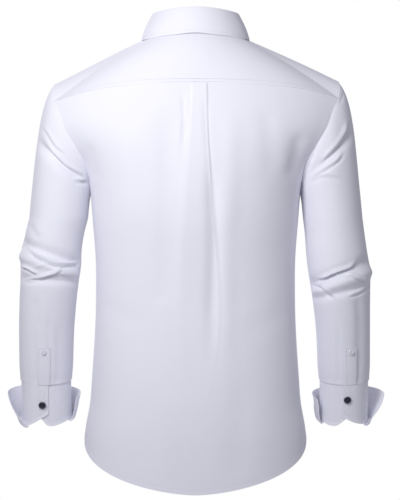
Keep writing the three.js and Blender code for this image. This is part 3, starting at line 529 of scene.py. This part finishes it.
def node(tree, kind, settings=None, links=None, **values):
    """Adds a shader node, sets its attributes and input values, and links its inputs."""
    made = tree.nodes.new(kind)
    for key, value in (settings or {}).items():
        setattr(made, key, value)
    for key, value in values.items():
        made.inputs[key.replace("_", " ")].default_value = value
    for key, socket in (links or {}).items():
        tree.links.new(socket, made.inputs[key])
    return made


def shader(name, **values):
    """A material with one Principled shader and the given input values."""
    material = bpy.data.materials.new(name)
    material.use_nodes = True
    tree = material.node_tree
    main = tree.nodes["Principled BSDF"]
    for key, value in values.items():
        main.inputs[key.replace("_", " ")].default_value = value
    return material, tree, main


def two_tones(tree, main, dark, light, **pattern):
    """Colours a finish with noise between two tones, fixed to the piece."""
    coords = node(tree, "ShaderNodeTexCoord")
    noise = node(tree, "ShaderNodeTexNoise", {}, {"Vector": coords.outputs["Object"]}, **pattern)
    ramp = node(tree, "ShaderNodeValToRGB", {}, {"Fac": noise.outputs["Fac"]})
    for stop, code in zip(ramp.color_ramp.elements, (dark, light)):
        stop.color = srgb(code)
    tree.links.new(ramp.outputs["Color"], main.inputs["Base Color"])


def fine_marks(tree, main, scale, strength, height):
    """Roughens a finish with fine noise, as a bump of a height in mm."""
    coords = node(tree, "ShaderNodeTexCoord")
    marks = node(tree, "ShaderNodeTexNoise", {}, {"Vector": coords.outputs["Object"]}, Scale=scale,
                 Detail=2.0)
    bump = node(tree, "ShaderNodeBump", {}, {"Height": marks.outputs["Fac"]}, Strength=strength,
                Distance=height * MM)
    tree.links.new(bump.outputs[0], main.inputs["Normal"])


def cotton_poplin(name, colour, relief=0.05, glow=0.0):
    """Bleached cotton poplin: matt, with a faint fuzz that lifts grazing light, and a glow where
    light passes through a free layer. Its threads are really about 0.3 mm apart and are drawn
    three times as coarse, so that they show close up. relief is the threads' height in mm."""
    material, tree, main = shader(
        name, Base_Color=srgb(colour), Roughness=0.82, Sheen_Weight=0.18, Sheen_Roughness=0.5,
        Specular_IOR_Level=0.28, IOR=1.46, Subsurface_Weight=glow, Subsurface_Radius=(1, 1, 1),
        Subsurface_Scale=3 * MM)
    main.inputs["Sheen Tint"].default_value = srgb("#f4f4ff")
    thread = 0.9 * MM
    place = node(tree, "ShaderNodeUVMap", {"uv_map": "cloth"})
    # At a scale of 1 the Wave texture repeats every 2 pi / 20
    waves = [node(tree, "ShaderNodeTexWave", {"bands_direction": way}, {"Vector": place.outputs["UV"]},
                  Scale=2 * math.pi / thread / 20, Distortion=1.2, Detail=1.0, Detail_Scale=0.6)
             for way in ("X", "Y")]
    weave = node(tree, "ShaderNodeMath", {"operation": "MULTIPLY"})
    for i, wave in enumerate(waves):
        tree.links.new(wave.outputs["Fac"], weave.inputs[i])
    coords = node(tree, "ShaderNodeTexCoord")
    slub, pucker = (node(tree, "ShaderNodeTexNoise", {}, {"Vector": coords.outputs["Object"]}, Scale=scale,
                         Detail=detail) for scale, detail in ((70.0, 4.0), (16.0, 2.0)))
    heights = ((weave.outputs[0], 0.25, relief), (slub.outputs["Fac"], 0.3, 0.5),
               (pucker.outputs["Fac"], 0.35, 2.2))
    under = {}
    for height, strength, distance in heights:
        bump = node(tree, "ShaderNodeBump", {}, {"Height": height, **under}, Strength=strength,
                    Distance=distance * MM)
        under = {"Normal": bump.outputs[0]}
    tree.links.new(under["Normal"], main.inputs["Normal"])
    return material


def sewing_thread(name, colour):
    """Polyester sewing thread: a little glossier than the cloth, and twisted."""
    material, tree, main = shader(name, Base_Color=srgb(colour), Roughness=0.5)
    fine_marks(tree, main, 2500.0, 0.4, 0.1)
    return material


def pearl_resin(name, dark, light):
    """Cast polyester resin with mother-of-pearl swirls: glossy, with soft bands of tone."""
    material, tree, main = shader(name, Roughness=0.18, IOR=1.53, Coat_Weight=0.4, Coat_Roughness=0.08)
    two_tones(tree, main, dark, light, Scale=260.0, Detail=3.0, Distortion=2.0)
    return material


def navy_enamel(name):
    """Fired enamel, almost black navy: mirror smooth, with faint depth in its colour."""
    material, tree, main = shader(name, Roughness=0.07, IOR=1.55, Coat_Weight=0.25, Coat_Roughness=0.03)
    two_tones(tree, main, "#05070f", "#131a33", Scale=180.0, Detail=2.0)
    return material


def polished_steel(name):
    """Plated and polished metal of the cufflink: bright, with fine turning marks."""
    material, tree, main = shader(name, Base_Color=srgb("#c9ccd6"), Metallic=1.0, Roughness=0.16)
    fine_marks(tree, main, 1200.0, 0.12, 0.05)
    return material


POPLIN = cotton_poplin("bleached_cotton_poplin", "#eeeef6")
FUSED = cotton_poplin("fused_cotton_collar_cloth", "#f0f0f8", relief=0.035)
CUFF_CLOTH = cotton_poplin("fused_cotton_cuff_cloth", "#f1f1fb", relief=0.035, glow=0.4)
THREAD = sewing_thread("white_polyester_thread", "#e3e3ee")
PEARL = pearl_resin("pearl_resin", "#dcdce4", "#fbfafc")
# The dark greys of the button holes are painted shade: they stand for the shade inside each thread hole.
HOLE = pearl_resin("shaded_resin_hole", "#77788a", "#8c8d9e")
ENAMEL = navy_enamel("navy_fired_enamel")
STEEL = polished_steel("polished_plated_steel")


def new_object(name, vertices, faces, material, uv=None, smooth=50):
    """A mesh object at the origin from points in mm. uv holds two lengths in mm a vertex, and
    edges of more than smooth degrees are sharp."""
    mesh = bpy.data.meshes.new(name)
    mesh.from_pydata((np.asarray(vertices) * MM).tolist(), [], faces)
    mesh.polygons.foreach_set("use_smooth", np.ones(len(mesh.polygons), bool))
    if uv is not None:
        layer = mesh.uv_layers.new(name="cloth")
        index = np.zeros(len(mesh.loops), np.int32)
        mesh.loops.foreach_get("vertex_index", index)
        layer.data.foreach_set("uv", (np.asarray(uv)[index] * MM).astype(np.float32).ravel())
    mesh.update()
    if smooth:
        mesh.set_sharp_from_angle(angle=math.radians(smooth))
    mesh.materials.append(material)
    made = bpy.data.objects.new(name, mesh)
    bpy.context.scene.collection.objects.link(made)
    return made


def carried(piece):
    """Puts a piece on the shirt's one body."""
    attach(piece, "root")
    return piece


def cloth(piece):
    """Declares a cloth piece: the node that it stands for and what holds it."""
    carried(piece)
    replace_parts(piece, piece.name.removesuffix("_cloth"))


def steps(*stretches):
    """Values along stretches of (from, to, count) that share their ends."""
    parts = [np.linspace(*one) for one in stretches]
    return np.concatenate([parts[0]] + [part[1:] for part in parts[1:]])


def both_ways(half):
    """Values from 0 up, and their negatives before them."""
    return np.concatenate([-half[:0:-1], half])


def mesh_grid(rows, cols):
    """Two arrays, the column values and the row values, over the whole grid."""
    return np.meshgrid(np.asarray(cols, float), np.asarray(rows, float))


def normals(grid, closed, inside):
    """Unit normals of a grid from its differences, turned away from a point inside."""
    if closed:
        across = np.roll(grid, -1, axis=1) - np.roll(grid, 1, axis=1)
    else:
        across = np.gradient(grid, axis=1)
    n = np.cross(across, np.gradient(grid, axis=0))
    n /= np.maximum(np.linalg.norm(n, axis=-1, keepdims=True), 1e-9)
    middle = (grid.shape[0] // 2, grid.shape[1] // 2)
    return n * np.sign(np.dot(n[middle], grid[middle] - np.asarray(inside, float)))


def facing(point, u, v, step, inside):
    """Points of a surface and its unit normals there, turned away from a point inside."""
    at = lambda a, b: point(np.asarray(a, float), np.asarray(b, float))
    p = at(u, v)
    n = unit(np.cross(at(u + step, v) - p, at(u, v + step) - p))
    return p, n * np.sign(np.sum(n * (p - np.asarray(inside, float)), axis=-1, keepdims=True))


def lengths(grid, axis):
    """The distance along the grid's lines from their first point, in mm."""
    step = np.linalg.norm(np.diff(grid, axis=axis), axis=-1)
    return np.concatenate([np.zeros_like(np.take(step, [0], axis)), np.cumsum(step, axis=axis)], axis=axis)


def margins(grid):
    """Each point's distance to the first row, to the last row and to the nearer side, in mm."""
    down, across = lengths(grid, 0), lengths(grid, 1)
    return down, down[-1] - down, np.minimum(across, across[:, -1:] - across)


def shell(name, grid, inside, material, low=CLOTH["low"], high=CLOTH["high"], relief=0.0, thicken=0.0,
          closed=False):
    """A closed thin shell: both faces of a grid moved out along its normals and joined by
    rims. relief moves both faces and thicken the outer one alone."""
    n = normals(grid, closed, inside)
    rows, cols = grid.shape[:2]
    relief, thicken = (np.broadcast_to(k, (rows, cols))[..., None] for k in (relief, thicken))
    inner = grid + n * (low + relief)
    outer = grid + n * (high + relief + thicken)
    ids = np.arange(rows * cols).reshape(rows, cols)
    right = np.roll(ids, -1, axis=1) if closed else ids[:, 1:]
    left = ids if closed else ids[:, :-1]
    front = np.stack([left[:-1], right[:-1], right[1:], left[1:]], axis=-1).reshape(-1, 4)
    shift = rows * cols
    rims = [(left[0], right[0]), (right[-1], left[-1])]
    if not closed:
        rims += [(ids[1:, 0], ids[:-1, 0]), (ids[:-1, -1], ids[1:, -1])]
    faces = np.concatenate([front, front[:, ::-1] + shift] + [
        np.stack([q, p, p + shift, q + shift], axis=-1).reshape(-1, 4) for p, q in rims])
    points = np.concatenate([outer.reshape(-1, 3), inner.reshape(-1, 3)])
    uv = np.stack([lengths(grid, 1), lengths(grid, 0)], axis=-1).reshape(-1, 2)
    corner = points[front[:, 0]]
    way = np.cross(points[front[:, 1]] - corner, points[front[:, 3]] - corner)
    if np.sum(way * n.reshape(-1, 3)[front[:, 0]]) < 0:
        faces = faces[:, ::-1]
    return new_object(name, points, faces.tolist(), material, np.concatenate([uv, uv]))


def soften(p, weight, axis, rounds):
    """Evens out a grid along one axis: each round moves a point towards the middle of its two
    neighbours, by half its weight."""
    p = np.moveaxis(p.copy(), axis, 0)
    w = 0.5 * np.moveaxis(weight, axis, 0)[1:-1, :, None]
    for _ in range(rounds):
        p[1:-1] += w * ((p[:-2] + p[2:]) / 2 - p[1:-1])
    return np.moveaxis(p, 0, axis)


def draped(p, v):
    """Evens out a panel's lines near the underarm, where its upper part meets the lower one."""
    return soften(hang(p), np.exp(-(v / 0.16) ** 2), 0, 140)


def groove(distance, at, depth=0.35, half=0.7):
    """The dent that a row of stitches pulls into the cloth, at a distance from an edge."""
    return -depth * np.exp(-((distance - at) / half) ** 2)


def narrow_hem(distance):
    """A turned hem: thicker up to 7 mm from the edge, stitched 6 mm in."""
    return 0.5 * (1 - ease(distance, 6.5, 7.5)) + groove(distance, 6)


def make_back():
    """The back panel, with its pleat, its felled side seams and its narrow hem."""
    edge = PLEAT["s"] + PLEAT["edge"]
    half = steps((0, PLEAT["s"], 12), (PLEAT["s"], edge, 5), (edge, 0.14, 22), (0.14, PANEL["side"], 54))
    s, v = mesh_grid(steps((PANEL["top"], 0, 70), (0, 1, 160)), both_ways(half))
    p = draped(back_point(s, v), v)
    down, hem, side = margins(p)
    relief = crease(p, BACK_CREASES) * ease(down, 2, 40) * ease(side, 2, 30)
    thicken = narrow_hem(hem) + 0.35 * (1 - ease(side, 6.5, 7.5)) + groove(side, 6, 0.25)
    thicken -= 0.3 * (1 - ease(down, 0.5, 4))
    return shell("back_cloth", p, BODY_MIDDLE, POPLIN, relief=relief, thicken=thicken)


def make_yoke():
    """The yoke, folded under at its seams and stitched twice along the back seam."""
    half = steps((0, YOKE_SEAM["turn"], 70), (YOKE_SEAM["turn"], 0.999, 40))
    c, r = mesh_grid(np.linspace(0.002, 1.012, 60), both_ways(half))
    p = soften(hang(yoke_point(c, r)), np.exp(-(c / 0.12) ** 2), 1, 200)
    edge = margins(p)[1]
    lap = 0.5 * (1 - ease(edge, 1.5, 12))
    thicken = groove(edge, 3, 0.2) + groove(edge, 8, 0.2) - 0.3 * (1 - ease(edge, 0.2, 2.5))
    return shell("yoke_cloth", p, BODY_MIDDLE, POPLIN, relief=lap, thicken=thicken)


def make_front(side):
    """A front panel; the left one laps over the right."""
    sign, point = SIGN[side], front_point if side == "left" else underlap_point
    cols = sign * steps((-LAP["s"], 0.02, 8), (0.02, PANEL["side"], 76))[::sign]
    s, v = mesh_grid(steps((PANEL["top"], 0, 60), (0, 1, 120)), cols)
    p = draped(point(s, v), v)
    down, hem, _ = margins(p)
    across = lengths(p, 1)
    rim = across[:, -1:] - across if side == "left" else across
    relief = crease(p, FRONT_CREASES, sign) * ease(rim, 2, 30) * ease(np.abs(s), LAP["s"], 0.2)
    return shell(f"front_{side}_cloth", p, BODY_MIDDLE, POPLIN, relief=relief * ease(down, 2, 40),
                 thicken=narrow_hem(hem) + groove(rim, 6, 0.25))


def make_placket():
    """The strip down the front, stitched 6 mm in from both of its edges."""
    s, v = mesh_grid(steps((PANEL["top"], 0, 60), (0, 1, 120)), np.linspace(-LAP["s"], LAP["s"], 25))
    p = hang(front_point(s, v))
    rows_in = groove(margins(p)[2], PLACKET["row"])
    return shell("front_placket_cloth", p, BODY_MIDDLE, POPLIN, **ON_PANEL, thicken=rows_in)


def drawn_in(t):
    """How far the sleeve's end narrows to the cuff."""
    return 1.1 * ease(t, 1.9, 2)


def make_sleeve(side):
    """A sleeve: one tube from the armhole to the cuff, with the elbow's folds and the gathers
    into the cuff. The same folds show, 9 mm lower and softer, on the front."""
    degrees, t = mesh_grid(steps((0, 1, 80), (1, 1.55, 105), (1.55, 1.9994, 50)),
                           np.linspace(0, 360, 121)[:-1])
    p = hang(sleeve_point(side, degrees, t))
    turn = np.sin(np.radians(degrees))
    behind, before = ease(turn, -0.12, 0.2), 1 - ease(turn, -0.35, -0.05)
    creases, sign = SLEEVE_CREASES[side], SIGN[side]
    lower = crease(p + np.array([0, 0, 9.0]), creases, sign)
    relief = crease(p, creases, sign) * behind + 0.6 * lower * before
    relief = relief * ease(t, 0.0, 0.12) * (1 - ease(t, 1.97, 2)) - drawn_in(t)
    seam = groove(lengths(p, 0), 3, 0.3) * ease(np.cos(np.radians(degrees)), -0.8, -0.4)
    return shell(f"sleeve_{side}_cloth", p, ELBOW * (sign, 1, 1), POPLIN, relief=relief, thicken=seam,
                 closed=True)


def make_strip(side):
    """The stitched strip over the sleeve's slit."""
    degrees, t = mesh_grid(np.linspace(*STRIP_LEVELS, 60), np.linspace(*STRIP[side], 22))
    p = hang(sleeve_point(side, degrees, t))
    down, _, rim = margins(p)
    return shell(f"sleeve_placket_{side}_cloth", p, FOREARM * (SIGN[side], 1, 1), POPLIN, **ON_SLEEVE,
                 relief=-drawn_in(t), thicken=groove(np.minimum(down, rim), 2))


def make_collar():
    """The collar's stand and fall, fused and stitched near their edges."""
    degrees, t = mesh_grid(np.linspace(0, 1, 20), np.linspace(STAND["start"], STAND["end"], 200))
    p = hang(stand_point(degrees, t))
    stand = shell("collar_stand_cloth", p, IN_STAND, FUSED, low=-0.7, high=0.7,
                  thicken=groove(lengths(p, 0), 2.5))
    degrees, k = mesh_grid(steps((0, 2, 9), (2, 5, 34)), np.linspace(-FALL["end"], FALL["end"], 220))
    p = hang(fall_point(degrees, k))
    _, low, side = margins(p)
    edge = np.minimum(low, side)
    thicken = groove(edge, 5, 0.25) - 0.6 * (1 - ease(edge, 0, 3))
    return stand, shell("collar_fall_cloth", p, IN_FALL, FUSED, low=-0.45, high=0.95, thicken=thicken)


def wrist_middle(side):
    """A point on the arm's axis, 35 mm below the sleeve."""
    ends = [wrist_point(side, np.array(a), np.array(35.0)) for a in (0.0, 180.0)]
    return (ends[0] + ends[1]) / 2


def make_band(side):
    """The cuff's inner layer: a band round the wrist, lapped where the cufflink holds it."""
    edge = CUFF_EDGE[side]
    degrees, t = mesh_grid(np.linspace(0, 1, 44), np.linspace(edge[0, 0], edge[-1, 0], 190))
    p = wrist_point(side, degrees, mix(0.08, read(edge, 1, degrees), t), lapped(degrees) - CUFF["inset"])
    down, low, ends = margins(p)
    behind = ease(np.sin(np.radians(degrees)), -0.1, 0.5)
    rolled = (0.9 * np.exp(-(low / 3.5) ** 2) + groove(low, 7)) * behind
    thicken = groove(down, 4, 0.15) + groove(ends, 5) + rolled
    return shell(f"cuff_band_{side}_cloth", p, wrist_middle(side), CUFF_CLOTH, low=-1.5, high=-0.1,
                 thicken=thicken)


def make_turnback(side):
    """The cuff's outer layer: TURNBACK's profile carried round the wrist from the band's edge."""
    turn = TURN[side]
    u, k = mesh_grid(np.linspace(0, 6, 52), np.linspace(0, 1, 150))
    out, up = read(TURNBACK, 1, k), read(TURNBACK, 2, k)
    degrees = mix(turn["inside"], mix(turn["roll"], turn["free"], ease(up, 0, 30)), u)
    c = np.cos(np.radians(degrees))
    height = np.where(up > 0, up * mix(turn["inner"], turn["outer"], (1 + c) / 2), up)
    out = out - CUFF["inset"] + lapped(degrees) + turn["aside"] * c * ease(up, 0, 40)
    p = wrist_point(side, degrees, read(CUFF_EDGE[side], 1, degrees) - height, out)
    rim = np.minimum.reduce(margins(p))
    return shell(f"cuff_turnback_{side}_cloth", p, wrist_middle(side), CUFF_CLOTH, low=-0.5, high=0.5,
                 thicken=groove(rim, 5))


def axes(direction):
    """Three unit vectors, the third along a direction."""
    z = unit(np.asarray(direction, float))
    x = unit(np.cross((0, 0, 1), z))
    return np.stack([x, np.cross(z, x), z])


def lathe(name, profile, centre, direction, material, sides):
    """A closed turned piece: a profile of (radius, height) whose ends lie on the axis."""
    profile = np.asarray(profile, float)
    a = np.linspace(0, 2 * np.pi, sides, endpoint=False)
    ring = profile[1:-1]
    around = np.stack([np.outer(ring[:, 0], np.cos(a)), np.outer(ring[:, 0], np.sin(a)),
                       np.repeat(ring[:, 1:], sides, axis=1)], axis=-1).reshape(-1, 3)
    points = np.concatenate([[(0, 0, profile[0, 1])], around, [(0, 0, profile[-1, 1])]])
    last, top = len(points) - 1, 1 + (len(ring) - 1) * sides
    faces = []
    for k in range(sides):
        j = (k + 1) % sides
        faces += [(0, 1 + j, 1 + k), (last, top + k, top + j)]
        faces += [(r + k, r + j, r + sides + j, r + sides + k) for r in range(1, top, sides)]
    placed = points @ axes(direction) + np.asarray(centre)
    return carried(new_object(name, placed, faces, material, smooth=35))


def thread_bar(name, line, radius=0.22, sides=8):
    """A thread: a round section carried along a line, closed at both ends."""
    tangent = unit(np.gradient(line, axis=0))
    side = unit(np.cross(tangent, (0.3, 0.2, 0.93)))
    a = np.linspace(0, 2 * np.pi, sides, endpoint=False)[:, None]
    other = np.cross(tangent, side)
    rings = line[:, None] + radius * (np.cos(a) * side[:, None] + np.sin(a) * other[:, None])
    last = (len(line) - 1) * sides
    faces = [(r + sides + k, r + sides + (k + 1) % sides, r + (k + 1) % sides, r + k)
             for r in range(0, last, sides) for k in range(sides)]
    faces += [tuple(range(sides)), tuple(last + k for k in reversed(range(sides)))]
    carried(new_object(name, rings.reshape(-1, 3), faces, THREAD, smooth=None))


def button(name, replaced, radius, height, centre, direction):
    """A four-hole button: a dished disc with a rounded rim, four wells, and crossed thread."""
    profile = [(0, 0), (radius - 0.6, 0), (radius - 0.1, 0.35), (radius, 0.9),
               (radius - 0.15, height - 0.3), (radius - 0.6, height), (radius - 1.0, height - 0.05),
               (radius * 0.62, height - 0.7), (0, height - 0.75)]
    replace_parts(lathe(name, profile, centre, direction, PEARL, 40), replaced)
    x, y, z = axes(direction)
    spread = radius * 0.27
    face = np.asarray(centre) + z * (height - 0.72)
    for i, a in enumerate(np.radians((45, 135))):
        along = np.linspace(-1.4, 1.4, 9)[:, None] * spread * (x * math.cos(a) + y * math.sin(a))
        thread_bar(f"{name}_thread_{i + 1}", face + along + z * 0.18)
    # Each well is a small dark lens of painted shade, put where a thread hole would be.
    well = [(0, -0.3), (0.5, -0.25), (0.55, 0.03), (0.4, 0.04), (0, 0.02)]
    for i, (a, b) in enumerate(((1, 1), (1, -1), (-1, -1), (-1, 1))):
        spot = face + (x * a + y * b) * spread + z * 0.02
        lathe(f"{name}_hole_{i + 1}", well, spot, direction, HOLE, 16)


def make_cufflink(side):
    """A cufflink: a turned metal cup and post, with a domed enamel face set in the cup."""
    angle, depth = LINK[side]
    at = lambda grow: wrist_point(side, np.array(angle), np.array(depth), grow)
    outer, inner = at(float(lapped(angle)) - CUFF["inset"]), at(-CUFF["inset"] - CUFF["thickness"])
    tilt = math.radians(SLEEVES[side][-1, TILT])
    down = np.array([0, -math.sin(tilt), -math.cos(tilt)])
    way = outer - wrist_middle(side)
    way = unit(way - down * np.dot(way, down))
    low, high, seat = -float(np.dot(outer - inner, way)) - 0.7, 0.6, 5.8
    cup = [(0, low - 1.4), (4.3, low - 1.4), (4.9, low - 1.0), (5, low - 0.4), (4.7, low), (1.4, low),
           (1.4, high), (5.7, high), (6.3, high + 0.5), (6.6, high + 1.3), (6.5, high + 1.9),
           (6.0, high + 2.0), (0, high + 1.5)]
    metal = lathe(f"cufflink_{side}_cup", cup, outer, way, STEEL, 64)
    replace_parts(metal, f"cufflink_{side}")
    arc = np.radians(np.linspace(0, 90, 12))[:-1]
    dome = [(seat * math.cos(b), high + 1.75 + 1.6 * math.sin(b)) for b in arc]
    dome = [(0, high + 1.4), (seat, high + 1.45)] + dome + [(0, high + 3.35)]
    lathe(f"cufflink_{side}_enamel", dome, outer, way, ENAMEL, 64)


def stitch_row(name, point, u, v, inside, lift, step=-1e-3):
    """A row of stitches on a surface, lifted off it: spindles of three four-sided rings and
    two tips, one every STITCH pitch along the line."""
    line, outward = facing(lambda a, b: hang(point(a, b)), u, v, step, inside)
    gap = np.concatenate([[0], np.cumsum(np.linalg.norm(np.diff(line, axis=0), axis=1))])
    at = np.arange(STITCH["pitch"] / 2, gap[-1], STITCH["pitch"])
    pick = lambda source: np.column_stack([np.interp(at, gap, source[:, i]) for i in range(3)])
    up, tangent = unit(pick(outward)), unit(pick(np.gradient(line, axis=0)))
    half, reach = STITCH["half"], STITCH["length"] / 2
    shape = [(-reach, 0, -half)]
    for k, w in ((-0.7, 0.75), (0, 1), (0.7, 0.75)):
        shape += [(k * reach, a * w * half, b * w * half) for a, b in ((1, 0), (0, 1), (-1, 0), (0, -1))]
    shape = np.array(shape + [(reach, 0, -half)])
    ways = np.stack([tangent, np.cross(tangent, up), up], axis=1)
    points = (pick(line) + up * lift)[:, None] + shape @ ways
    faces = []
    for k in range(4):
        j = (k + 1) % 4
        faces += [(0, 1 + j, 1 + k), (13, 9 + k, 9 + j)]
        faces += [(1 + k, 1 + j, 5 + j, 5 + k), (5 + k, 5 + j, 9 + j, 9 + k)]
    faces = [tuple(i + len(shape) * n for i in f) for n in range(len(at)) for f in faces]
    carried(new_object(name, points.reshape(-1, 3), faces, THREAD, smooth=None))


def make_stitching():
    """The rows of stitches that show: yoke seam, hems, placket, collar and sleeve strips."""
    count = 400
    full = lambda value, number=count: np.full(number, value)
    turn = np.linspace(-YOKE_SEAM["turn"] * 0.99, YOKE_SEAM["turn"] * 0.99, count)
    reach = np.linalg.norm(yoke_point(turn, full(0.9)) - yoke_point(turn, full(1.0)), axis=1) / 0.1
    for i, back in enumerate(YOKE_ROWS):
        stitch_row(f"yoke_stitches_{i + 1}", yoke_point, turn, 1 - back / reach, BODY_MIDDLE, LIFT["yoke"])
    hem, s = full(1 + HEM_ROW / (HEM["side"] - UNDERARM)), np.linspace(-0.995, 0.995, count)
    stitch_row("back_hem_stitches", back_point, s, hem, BODY_MIDDLE, LIFT["hem"])
    for side in SIDES:
        s = SIGN[side] * np.linspace(0.07, 0.995, count)
        stitch_row(f"front_hem_stitches_{side}", front_point, s, hem, BODY_MIDDLE, LIFT["hem"])
        s = full(LAP["s"] * (1 - PLACKET["row"] / PLACKET["half"]) * SIGN[side])
        v = np.linspace(-0.97, 0.99, count)
        stitch_row(f"placket_stitches_{side}", front_point, s, v, BODY_MIDDLE, LIFT["placket"])
    degrees = np.linspace(-FALL["end"] + 3, FALL["end"] - 3, count)
    stitch_row("collar_edge_stitches", fall_point, degrees, full(FALL_ROW), IN_FALL, LIFT["collar"],
               step=-1e-2)
    for side in SIDES:
        point = lambda a, b, side=side: sleeve_point(side, a, b)
        middle = FOREARM * (SIGN[side], 1, 1)
        start, end = STRIP[side][0] + STRIP_ROWS["inset"], STRIP[side][1] - STRIP_ROWS["inset"]
        for i, angle in enumerate((start, end)):
            t = np.linspace(STRIP_ROWS["bars"][0], STRIP_ROWS["end"], 60)
            stitch_row(f"strip_stitches_{side}_{i + 1}", point, full(angle, 60), t, middle, LIFT["strip"])
        for i, level in enumerate(STRIP_ROWS["bars"]):
            across = np.linspace(start, end, 20)
            stitch_row(f"strip_bar_{side}_{i + 1}", point, across, full(level, 20), middle, LIFT["strip"])


def make_buttons():
    """The front's, the collar's and the sleeve strips' buttons, each on what it is sewn to."""
    for i, v in enumerate(BUTTON_LEVELS):
        way = facing(front_point, 0.01, v, 0.02, BODY_MIDDLE)[1]
        p = hang(front_point(np.array(0.0), np.array(float(v))))
        button(f"front_button_{i + 1}_pearl", f"front_button_{i + 1}", *SHIRT_BUTTON,
               p + way * SEAT["front"], way)
    p, way = facing(stand_point, 180, 0.5, 0.1, IN_STAND)
    button("collar_button_pearl", "collar_button", *SHIRT_BUTTON, p + way * SEAT["collar"], way)
    for side in SIDES:
        p = sleeve_point(side, np.array(sum(STRIP[side]) / 2), np.array(STRIP_BUTTON))
        axis = np.array([SIGN[side] * FOREARM[0], float(read(SLEEVES[side], MID_Y, p[2])), p[2]])
        way = unit(p - axis)
        button(f"sleeve_button_{side}_pearl", f"sleeve_placket_button_{side}", *SLEEVE_BUTTON,
               p + way * SEAT["sleeve"], way)


def make_shirt():
    """Makes every piece and declares what it stands for."""
    cloth(make_back())
    cloth(make_yoke())
    for side in SIDES:
        cloth(make_front(side))
        cloth(make_sleeve(side))
        cloth(make_strip(side))
        cloth(make_band(side))
        cloth(make_turnback(side))
        make_cufflink(side)
    cloth(make_placket())
    stand, fall = make_collar()
    cloth(stand)
    cloth(fall)
    make_buttons()
    make_stitching()


def make_camera():
    """A level camera behind the shirt, 400 x 500; the image is VIEW's width at the shirt."""
    data = bpy.data.cameras.new("photo_camera")
    data.sensor_fit = "VERTICAL"
    data.sensor_height = 36
    data.lens = data.sensor_height * VIEW["distance"] / (VIEW["width"] * 500 / 400)
    data.clip_end = 50
    made = bpy.data.objects.new("photo_camera", data)
    x, z = VIEW["centre"]
    made.location = (x * MM, VIEW["distance"] * MM, z * MM)
    made.rotation_euler = (math.radians(90), 0, math.radians(180))
    bpy.context.scene.collection.objects.link(made)
    bpy.context.scene.camera = made


def area_light(name, place, aim, size, power, spread=180):
    """A square soft light at a place, turned to a point, both in metres."""
    data = bpy.data.lights.new(name, "AREA")
    data.size = size
    data.energy = power
    data.color = srgb("#fdfdff")[:3]
    data.spread = math.radians(spread)
    made = bpy.data.objects.new(name, data)
    made.visible_camera = False
    z = axes(np.asarray(place, float) - np.asarray(aim, float))
    made.matrix_world = Matrix([[*z[:, i], place[i]] for i in range(3)] + [[0, 0, 0, 1]])
    bpy.context.scene.collection.objects.link(made)


def make_studio():
    """A pale round floor, a white ground, and a soft light on the back and on the front."""
    a = np.linspace(0, 2 * np.pi, FLOOR["sides"], endpoint=False)
    disc = vec(FLOOR["radius"] * np.cos(a), FLOOR["radius"] * np.sin(a), FLOOR["level"])
    paper = shader("matt_white_paper", Base_Color=srgb("#dcdce0"), Roughness=0.9)[0]
    new_object("floor", disc, [tuple(range(FLOOR["sides"]))], paper)
    world = bpy.data.worlds.new("white_studio")
    bpy.context.scene.world = world
    world.use_nodes = True
    tree = world.node_tree
    tree.nodes.clear()
    seen = node(tree, "ShaderNodeBackground", Color=(1, 1, 1, 1), Strength=1.0)
    light = node(tree, "ShaderNodeBackground", Color=srgb("#f1f1fc"), Strength=0.385)
    path = node(tree, "ShaderNodeLightPath")
    blend = node(tree, "ShaderNodeMixShader", {}, {0: path.outputs["Is Camera Ray"], 1: light.outputs[0],
                                                   2: seen.outputs[0]})
    node(tree, "ShaderNodeOutputWorld", {}, {"Surface": blend.outputs[0]})
    area_light("key", place=(0.5, 1.25, 0.3), aim=(0.0, 0.1, -0.12), size=0.45, power=5.3, spread=112)
    area_light("front", place=(0.9, -2.2, 0.9), aim=(0.0, 0.0, -0.35), size=1.6, power=30)
    bpy.context.scene.view_settings.view_transform = "Standard"


make_camera()
make_studio()
make_shirt()
